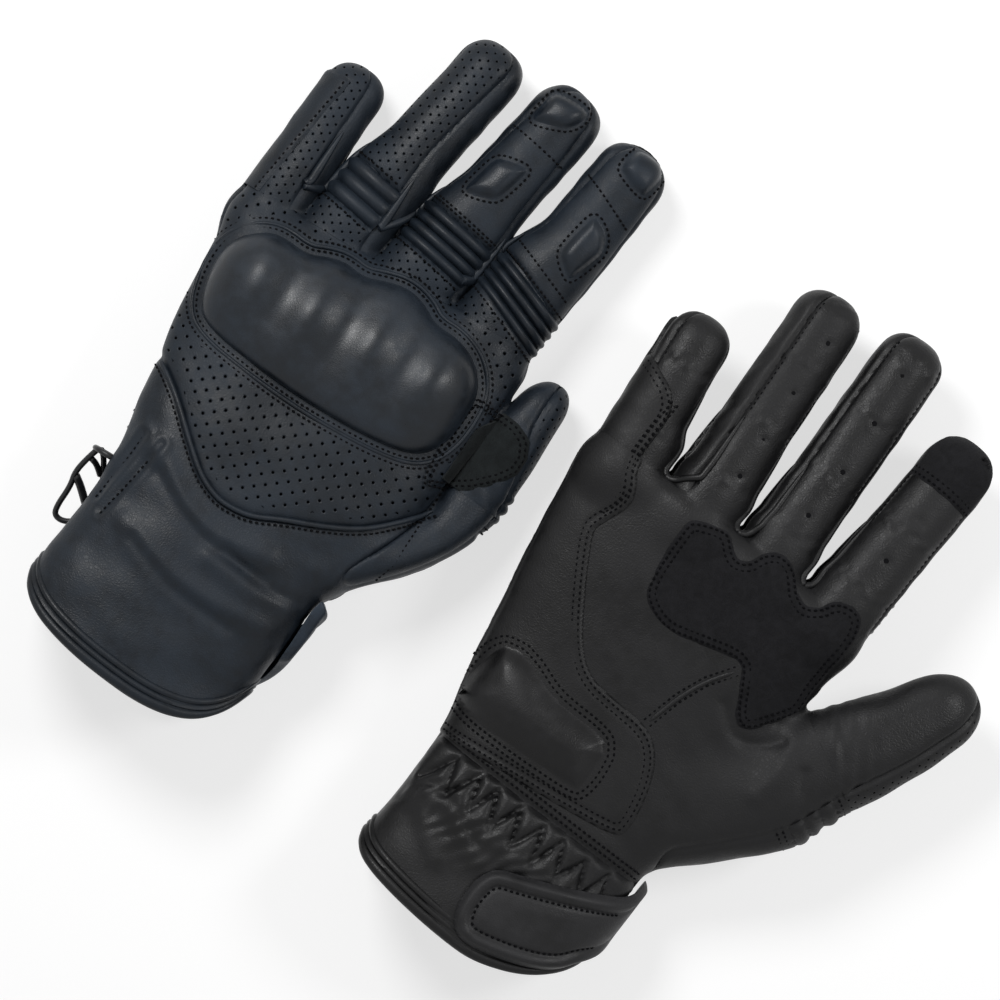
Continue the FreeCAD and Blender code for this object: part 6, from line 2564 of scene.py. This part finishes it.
    def build_pads(self, digit: Digit, carrier: Carrier) -> None:
        """Raise the two armour pads on a finger's back.

        Args:
            digit: the finger.
            carrier: what it moves with.
        """
        source = [d for d in LEFT_DIGITS if d.name == digit.name][0]
        front = self.front
        for number, key in enumerate(("low", "high")):
            corners = np.asarray(PADS[f"{digit.name}_{key}"])
            corners = np.column_stack([corners, np.full(len(corners), source.rise)])
            spots = source.local(corners, LEFT_TRUNK.front)
            spots[:, 0] *= digit.root / source.root
            spots[:, 1] *= digit.long / source.long
            flat = digit.world(spots, front)[:, :2]
            outline = cornered(flat.mean(axis=0) + (flat - flat.mean(axis=0)) * 1.12, 1.8)
            sheet = self.form.draped(outline, Face.BACK, 0.45)
            deep = inside_distance(sheet.plan, outline)
            lift = 0.3 + self.pad_height * (1 - np.exp(-((deep / 2.1) ** 1.9)))
            lift += 0.05 * noise(sheet.points, 7.0, 60)
            nodes = (f"{digit.name}_pads",) if number == 0 else ()
            self.panel(f"{digit.name}_pad_{key}", sheet, self.finish.pad, carrier, nodes, lift, -0.9, deep,
                       fill=0.6)
            self.stitched(f"{digit.name}_stitching", outline, Face.BACK, 0.55, (-0.9,), carrier, closed=True)
        for place in (0.335, 0.73):
            angle = np.linspace(-56, 50, 40)
            slant = 0.3 * digit.root * (digit.name == "index")
            along = np.full(40, digit.long * place) - slant * np.sin(np.radians(angle))
            points, normals, found = self.around(digit, along, angle)
            self.thread(f"{digit.name}_stitching", carrier).sew(points[found], normals[found], 0.5)

    def build_touch_patch(self, digit: Digit, own: Sheet, read: Callable, carrier: Carrier) -> None:
        """Sew the suede patch on the index fingertip.

        Args:
            digit: the finger.
            own: its part of the skin.
            read: what reads places along the finger and distances from its seams.
            carrier: what it moves with.
        """
        def share(points: np.ndarray) -> np.ndarray:
            """Measure how far points are inside the patch."""
            along, _, under, _, _ = read(points)
            return np.minimum(along - (digit.long - self.touch_reach), under - 0.3)

        sheet = own.trimmed(share(own.points)).biggest(30)
        deep = np.maximum(share(sheet.points), 0)
        lift = 0.95 - 0.7 * hump(deep, 0.8) + 0.1 * noise(sheet.points, 8.0, 70)
        self.panel("index_touch_patch", sheet, self.finish.suede, carrier, ("index_touch_patch",), lift, -0.4,
                   deep)
        angle = np.linspace(SEAMS["index"].front_high + 9, 360 + SEAMS["index"].front_low - 9, 40)
        for gap in (-1.3, -3.4):
            along = np.full(40, digit.long - self.touch_reach - gap)
            points, normals, found = self.around(digit, along, angle)
            self.thread("index_stitching", carrier).sew(points[found], normals[found], 0.85)

    def build_side_patch(self, digit: Digit, own: Sheet, read: Callable, carrier: Carrier) -> None:
        """Lay the second layer along the outer side of the little finger.

        Args:
            digit: the finger.
            own: its part of the skin.
            read: what reads places along the finger and distances from its seams.
            carrier: what it moves with.
        """
        source = [d for d in RIGHT_DIGITS if d.name == "pinky"][0]
        front = self.front
        corners = np.column_stack([np.asarray(PINKY_PATCH), np.full(len(PINKY_PATCH), source.rise)])
        size = np.array([digit.root / source.root, digit.long / source.long, 1.0])
        spots = source.local(corners, RIGHT_TRUNK.front) * size
        outline = cornered(digit.world(spots, front)[:, :2], 2.5)

        def share(points: np.ndarray) -> np.ndarray:
            """Measure how far points are inside the patch.

            Args:
                points: points in the glove's millimetres.

            Returns:
                Each point's depth inside it.
            """
            along, _, _, angle, _ = read(points)
            edge = np.interp(along, *self.side_edge)
            turned = np.where(angle > 90, angle - 360, angle)
            above = np.minimum((edge - turned) * digit.radius(along) * math.pi / 180, (49.5 - along) * 0.9)
            below = inside_distance(points[:, :2], outline)
            return np.where(turned < -92, np.minimum(below, (50.5 - along) * 0.9), above)

        sheet = own.trimmed(share(own.points)).biggest(30)
        deep = np.maximum(share(sheet.points), 0)
        lift = 1.2 - 0.8 * hump(deep, 0.8) + 0.15 * noise(sheet.points, 12.0, 71)
        self.panel("pinky_side_patch", sheet, self.finish.overlay, carrier, ("pinky_side_patch",), lift, -0.5,
                   deep)
        along = np.arange(1.0, 48.0, 0.8)
        edge = np.interp(along, *self.side_edge) - 8
        points, normals, found = self.around(digit, along, edge)
        self.thread("pinky_stitching", carrier).sew(points[found], normals[found], 1.1)
        self.stitched("pinky_stitching", outline, Face.PALM, 1.1, (1.5, 3.6), carrier, closed=True)


@dataclass
class ThumbPanels(Bench):
    """The thumb's back and front, and the suede that wraps round the crotch on the left glove."""

    depth: float = 1.5
    patch_rise: float = 1.0

    def around(self, along: np.ndarray, angle: np.ndarray) -> Spots:
        """Find places on the thumb's skin.

        Args:
            along: places along the thumb.
            angle: angles round it, in degrees, from its outer side over its back.

        Returns:
            The points, the ways out, and whether each was found.
        """
        thumb = self.form.thumb
        shift, rise, wide, tall = thumb.section(along)
        turn = np.radians(angle)
        side, ahead, up = thumb.axes()
        base = np.array([*thumb.spot, 0.0])
        start = base + shift[:, None] * side + along[:, None] * ahead + rise[:, None] * up
        way = (np.cos(turn) * wide)[:, None] * side + (np.sin(turn) * tall)[:, None] * up
        points, found = self.form.cast(start, unit(way), 30.0)
        return points, self.form.outward(points), found

    def build(self, skin: Sheet) -> None:
        """Cut the thumb's panels, lay the suede, and sew beside the folds over its joint.

        Args:
            skin: the glove's whole skin.
        """
        form, cut = self.form, self.cut
        whole = skin.trimmed(self.thumb_front(skin.points)).biggest()
        nearest = np.stack([d.distance(*whole.points.T, self.front) for d in form.digits], 1).min(axis=1)
        whole = whole.trimmed(nearest - form.thumb.distance(*whole.points.T)).biggest()
        carrier = self.thumb_carrier()
        for part, way, finish in (("back", 1.0, self.finish.punched), ("front", -1.0, self.finish.palm)):
            sheet = whole.trimmed(way * self.back_share(whole.points)).biggest()
            seam = np.abs(self.back_share(sheet.points))
            along = form.thumb.local(sheet.points)[:, 1]
            lift = smooth_step(0, 5, along) * (0.4 * (1 - hump(seam, 2.6)) - 1.0 * hump(seam, 0.9))
            lift += 0.25 * noise(sheet.points, 17.0, 80)
            if part == "back":
                lift += self.thumb_ribs(sheet.points)
            else:
                slant = along * 0.9 + sheet.points[:, 0] * 0.5
                crumple = noise(np.column_stack([slant, sheet.points[:, 0] / 4]), 7.0, 83)
                lift += 0.3 * crumple * smooth_step(26, 2, along)
            spots = form.thumb.centred(sheet.points)
            _, _, wide, _ = form.thumb.section(spots[:, 1])
            turn = np.arctan2(spots[:, 2], spots[:, 0])
            pattern = np.column_stack([turn * wide, spots[:, 1], 0 * turn]) * FINE_HOLES
            holes = ((seam > 1.8) & (part == "back") & (along > cut.ribs[1] + 1.5)).astype(float)
            self.panel(f"thumb_{part}", sheet, finish, carrier, (f"thumb_{part}",), lift, -self.depth, seam,
                       pattern,
                       holes)
        if self.side is Side.LEFT:
            corners = np.column_stack([np.asarray(THUMB_PATCH), np.zeros(len(THUMB_PATCH))])
            spots = LEFT_THUMB.local(corners)
            base = np.array([*form.thumb.spot, 0.0])
            outline = cornered((base + spots @ form.thumb.axes())[:, :2], 4.0)
            facing = whole.normals[:, 2] * 30 - 3
            sheet = whole.trimmed(np.minimum(inside_distance(whole.plan, outline), facing)).biggest()
            deep = np.maximum(inside_distance(sheet.plan, outline), 0)
            lift = self.patch_rise - 0.7 * hump(deep, 0.8) + 0.12 * noise(sheet.points, 9.0, 84)
            self.panel("thumb_crotch_patch", sheet, self.finish.suede, carrier, (), lift, -0.4, deep)
            self.stitched("thumb_stitching", outline, Face.BACK, 0.95, (1.4, 3.2), carrier, closed=True)
        start, end = cut.ribs
        for place in (start - 2.2, start - 4.4, end + 1.8):
            turn = np.linspace(cut.ribs_angle[0], cut.ribs_angle[1], 60)
            points, normals, found = self.around(np.full(60, place), turn)
            found &= np.abs(form.read(points)) < 0.4
            if found.sum() > 6:
                self.thread("thumb_stitching", carrier).sew(points[found], normals[found], 0.05)


@dataclass
class HangingClip(Bench):
    """The clip that pairs the gloves on a rack: a bent wire and its two cross struts, on the left glove."""

    sides: int = 12

    def build(self, skin: Sheet) -> None:
        """Bend the wire and the struts.

        Args:
            skin: the glove's whole skin.
        """
        if self.side is Side.RIGHT:
            return
        for number, (path, radius) in enumerate(CLIP_WIRES):
            line = rounded(path, False, 3)
            way = np.gradient(line, axis=0)
            normals = unit(np.cross(np.cross(way, (0.15, 0.1, 1.0)), way))
            word, nodes = ("clip_wire", ("clip",)) if number == 0 else (f"clip_strut_{number}", ())
            self.piping(word, line, normals, radius, 0.0, self.finish.clip, Carrier("left_hang_clip"), 0.4,
                        self.sides,
                        nodes)


@dataclass
class Sewing(Bench):
    """The stitches that the other sub-assemblies have laid."""

    def build(self, skin: Sheet) -> None:
        """Turn all the sewing into thread pieces.

        Args:
            skin: the glove's whole skin.
        """
        for word, thread in self.threads.items():
            if thread.count:
                self.piece(word, np.vstack(thread.points), np.concatenate(thread.faces), self.finish.thread,
                           thread.carrier)


PARTS: tuple[type[Bench], ...] = (HandPanels, PalmOverlays, BackTrim, KnuckleGuard, CuffBinding,
                                  WristStrap, Fingers, ThumbPanels, HangingClip, Sewing)


def left_cut() -> Cut:
    """Draw the left glove's lines; its palm takes the right palm's lines, refitted.

    Returns:
        The cut.
    """
    form = Form(LEFT_TRUNK, LEFT_DIGITS, LEFT_THUMB, (-66, -131, -6), (98, 144, 54))
    lines: dict[str, Plan] = {k: v for k, v in BACK_LINES.items() if k not in ("vee", "thumb_edge")}
    lines |= {k: refit(v, RIGHT_TRUNK, LEFT_TRUNK) for k, v in (PALM_LINES | STRAP_LINES).items()}
    lines |= LEFT_FOLDS
    guard = ((-30, 19, 16.5, 20.5), (-7, 19.4, 15.5, 23.4), (16.5, 20.6, 15.5, 25.5), (40.3, 19.2, 16, 21.3))
    hem = ((-46, -100), (-44.6, -104), (-42, -109), (-36, -113.3), (-28, -116.4), (-15, -119.3), (0, -121),
           (10, -121.5), (20, -120.6), (28, -118), (34, -113.5), (38, -107.5), (40.2, -101), (42, -96))
    thumb_low = ((0, 26), (12, 34), (22, 48), (34, 74), (44, 88), (52, 92))
    return Cut(form, hem, BACK_LINES["vee"], BACK_LINES["thumb_edge"], seam_hem=27, seam_front=15, wrist=-68,
               thumb_low=thumb_low, thumb_high=235, slack=1.3, ribs=(-2, 11), ribs_angle=(-60, 22),
               guard=guard, lines=lines)


def right_cut() -> Cut:
    """Draw the right glove's lines; its back takes the left back's lines, refitted.

    Returns:
        The cut.
    """
    form = Form(RIGHT_TRUNK, RIGHT_DIGITS, RIGHT_THUMB, (-88, -141, -6), (112, 140, 56))
    carried = {k: refit(v, LEFT_TRUNK, RIGHT_TRUNK) for k, v in BACK_LINES.items()}
    lines: dict[str, Plan] = {k: v for k, v in carried.items() if k not in ("vee", "thumb_edge")}
    lines |= PALM_LINES | STRAP_LINES | RIGHT_FOLDS
    guard = ((-47.5, 9, 16.2, 20.5), (-25.5, 9.4, 15.2, 23.4), (-3, 10.6, 15.2, 25.5),
             (19.8, 9.2, 15.7, 21.3))
    hem = ((-51, -116), (-49.2, -120), (-47.5, -124.5), (-42, -127.6), (-30, -129.6), (-15, -131),
           (0, -131.4), (8, -130.6), (18, -127.4), (26, -123), (32, -117.5), (36, -110.5), (38, -104))
    return Cut(form, hem, carried["vee"], carried["thumb_edge"], seam_hem=27, seam_front=19, wrist=-78,
               thumb_low=((0, 170), (50, 170)), thumb_high=308, slack=0.5, ribs=(-21, -3),
               ribs_angle=(-48, 40), guard=guard, lines=lines)


CLIP_WIRES = (
    (((-46.8, -56, 26.6), (-48.8, -62, 23), (-49.9, -67.5, 20.5), (-48.9, -72.5, 18), (-49.6, -80.5, 14.5),
      (-48.8, -84.2, 13), (-44.5, -84.4, 12.5), (-39, -80, 12), (-38.4, -70, 13.5), (-41.8, -62, 18.5),
      (-44.2, -57.2, 24), (-46.5, -55.4, 26.4)), 1.05),
    (((-49.7, -67.8, 20.2), (-46, -70.5, 17.5), (-39.2, -77.5, 12.5)), 1.45),
    (((-48, -60.2, 23.8), (-45, -61, 21.5), (-41.6, -64.4, 17.6)), 1.1),
)
STRAP_LINES = {
    "strap": ((-9.2, -113), (-8, -105.5), (-4.5, -101.3), (2, -99), (18, -92.3), (34, -84.8), (44, -80.2),
              (50, -78.2), (54.5, -77), (54, -101.5), (50, -104), (44, -107), (37.5, -111), (32.5, -117.5),
              (24, -122.5), (12, -126.6), (2, -129), (-4, -127.3), (-8, -121)),
    "loop_tape": ((-4, -121), (4, -100), (38, -88), (31, -110)),
    "hook_tape": ((-3, -119), (4, -102), (27, -93), (20, -112)),
}
LEFT_FOLDS: dict[str, Plan] = {
    "fold_back_0": ((-28, -46), (-12, -56), (4, -60), (22, -58)),
    "fold_back_1": ((-26, -72), (-8, -79), (14, -81), (34, -79)),
    "fold_back_2": ((6, -68), (20, -71), (36, -69)),
    "crease_back_0": ((-24, -52), (-8, -61), (8, -65), (26, -64)),
    "crease_back_1": ((-20, -76), (0, -84), (24, -85)),
    "crease_back_2": ((10, -63), (26, -67), (40, -66)),
    "crease_palm_0": ((-20, 10), (-5, 4), (10, 6)),
}
RIGHT_FOLDS: dict[str, Plan] = {
    "fold_palm_0": ((-34, -88), (-26, -98), (-12, -104)),
    "fold_palm_1": ((-44, -92), (-36, -104), (-24, -112)),
    "fold_palm_2": ((44, 0), (52, -14), (50, -28)),
    "crease_palm_0": ((24, 0), (32, 1), (40, -4)),
    "crease_palm_1": ((22, -10), (30, -17), (38, -16), (46, -8)),
    "crease_palm_2": ((-44, -96), (-38, -92), (-28, -94), (-16, -100)),
    "crease_palm_3": ((58, -12), (64, -22), (62, -34)),
    "crease_back_0": ((-30, -66), (-10, -74), (14, -76)),
}


# ---------------------------------------------------------------- the picture

@dataclass(frozen=True)
class Studio:
    """The floor, the soft lamps and the camera."""

    middle: tuple[float, float, float] = (-0.02184, 0.00268, 0.02)
    covered: float = 0.345
    height: float = 2.2
    sensor: float = 36.0
    up: tuple[float, float] = (-0.566, 0.824)
    floor_reach: float = 3.0
    floor_drop: float = 0.0005
    paper_glow: float = 0.68
    room_light: float = 0.16

    def floor(self) -> None:
        """Lay the pale floor, which keeps the gloves' shadow."""
        mesh = bpy.data.meshes.new("floor")
        corners = [(x * self.floor_reach, y * self.floor_reach, -self.floor_drop)
                   for x, y in ((-1, -1), (1, -1), (1, 1), (-1, 1))]
        mesh.from_pydata(corners, [], [(0, 1, 2, 3)])
        made = bpy.data.objects.new("floor", mesh)
        bpy.context.scene.collection.objects.link(made)
        material = bpy.data.materials.new("floor_paper")
        material.use_nodes = True
        net = Wiring(material.node_tree)
        surface = net.tree.nodes["Principled BSDF"]
        surface.inputs["Base Color"].default_value = (0.4, 0.4, 0.4, 1.0)
        surface.inputs["Roughness"].default_value = 0.9
        surface.inputs["Emission Color"].default_value = (1, 1, 1, 1)
        net.link(net.times(net.seen(), self.paper_glow), surface.inputs["Emission Strength"])
        mesh.materials.append(material)

    def lamp(self, name: str, place: tuple[float, float, float], size: float, power: float) -> None:
        """Hang one soft lamp that looks at the gloves.

        Args:
            name: its name.
            place: where it hangs, in metres.
            size: its width, in metres.
            power: its power, in watts.
        """
        light = bpy.data.lights.new(name, "AREA")
        light.shape, light.size, light.energy = "DISK", size, power
        made = bpy.data.objects.new(name, light)
        made.location = place
        made.rotation_euler = (Vector(self.middle) - Vector(place)).to_track_quat("-Z", "Y").to_euler()
        bpy.context.scene.collection.objects.link(made)

    def sky(self) -> None:
        """Fill the room with even light, white where the camera sees it."""
        world = bpy.data.worlds.new("room")
        bpy.context.scene.world = world
        world.use_nodes = True
        net = Wiring(world.node_tree)
        net.tree.nodes.clear()
        seen = net.seen()
        light = net.node("Background", {"Color": (1, 1, 1, 1), "Strength": self.room_light})
        white = net.node("Background", {"Color": (1, 1, 1, 1), "Strength": 1.0})
        mixed = net.node("MixShader", {0: seen, 1: light.outputs[0], 2: white.outputs[0]})
        net.node("OutputWorld", {"Surface": mixed.outputs[0]})

    def camera(self) -> None:
        """Hang the camera straight above, turned as the gloves are shown."""
        lens = bpy.data.cameras.new("camera")
        lens.sensor_width = self.sensor
        lens.lens = self.sensor * (self.height - self.middle[2]) / self.covered
        lens.clip_end = 20
        made = bpy.data.objects.new("camera", lens)
        up = Vector((*self.up, 0)).normalized()
        back = Vector((0, 0, 1))
        right = up.cross(back)
        turn = Matrix((right, up, back)).transposed().to_4x4()
        made.matrix_world = Matrix.Translation((self.middle[0], self.middle[1], self.height)) @ turn
        bpy.context.scene.collection.objects.link(made)
        bpy.context.scene.camera = made

    def clear(self) -> None:
        """Remove the objects that a new file starts with."""
        for name in ("Cube", "Light", "Camera"):
            if name in bpy.data.objects:
                bpy.data.objects.remove(bpy.data.objects[name])

    def build(self) -> None:
        """Set up the whole picture."""
        self.clear()
        bpy.context.scene.view_settings.view_transform = "Standard"
        self.camera()
        self.floor()
        self.sky()
        top = Vector((*self.up, 0)).normalized()
        side = Vector((-top.y, top.x, 0))
        key = Vector(self.middle) + top * 0.55 + side * 0.25 + Vector((0, 0, 0.75))
        fill = Vector(self.middle) + top * 0.12 - side * 0.68 + Vector((0, 0, 0.66))
        self.lamp("key", tuple(key), 0.36, 6.4)
        self.lamp("fill", tuple(fill), 0.26, 3.0)


def main() -> None:
    """Build the picture, both gloves and the hanging clip, logging each piece's face count."""
    logging.basicConfig(level=logging.INFO, format="%(message)s")
    Studio().build()
    for side, cut in ((Side.LEFT, left_cut()), (Side.RIGHT, right_cut())):
        lay = Lay.found(side, cut.form.trunk, cut.form.digits)
        finish, skin = wardrobe(side), cut.form.skin()
        threads: dict[str, Thread] = {}
        for part in PARTS:
            log.info("%s glove: %s", side.value, part.__name__)
            part(side, cut, lay, finish, threads).build(skin)
    for slot in frame["nodes"]["left_clip_loop"].material_slots:
        slot.material = dressed(wardrobe(Side.LEFT).clip)


if __name__ == "__main__":
    main()
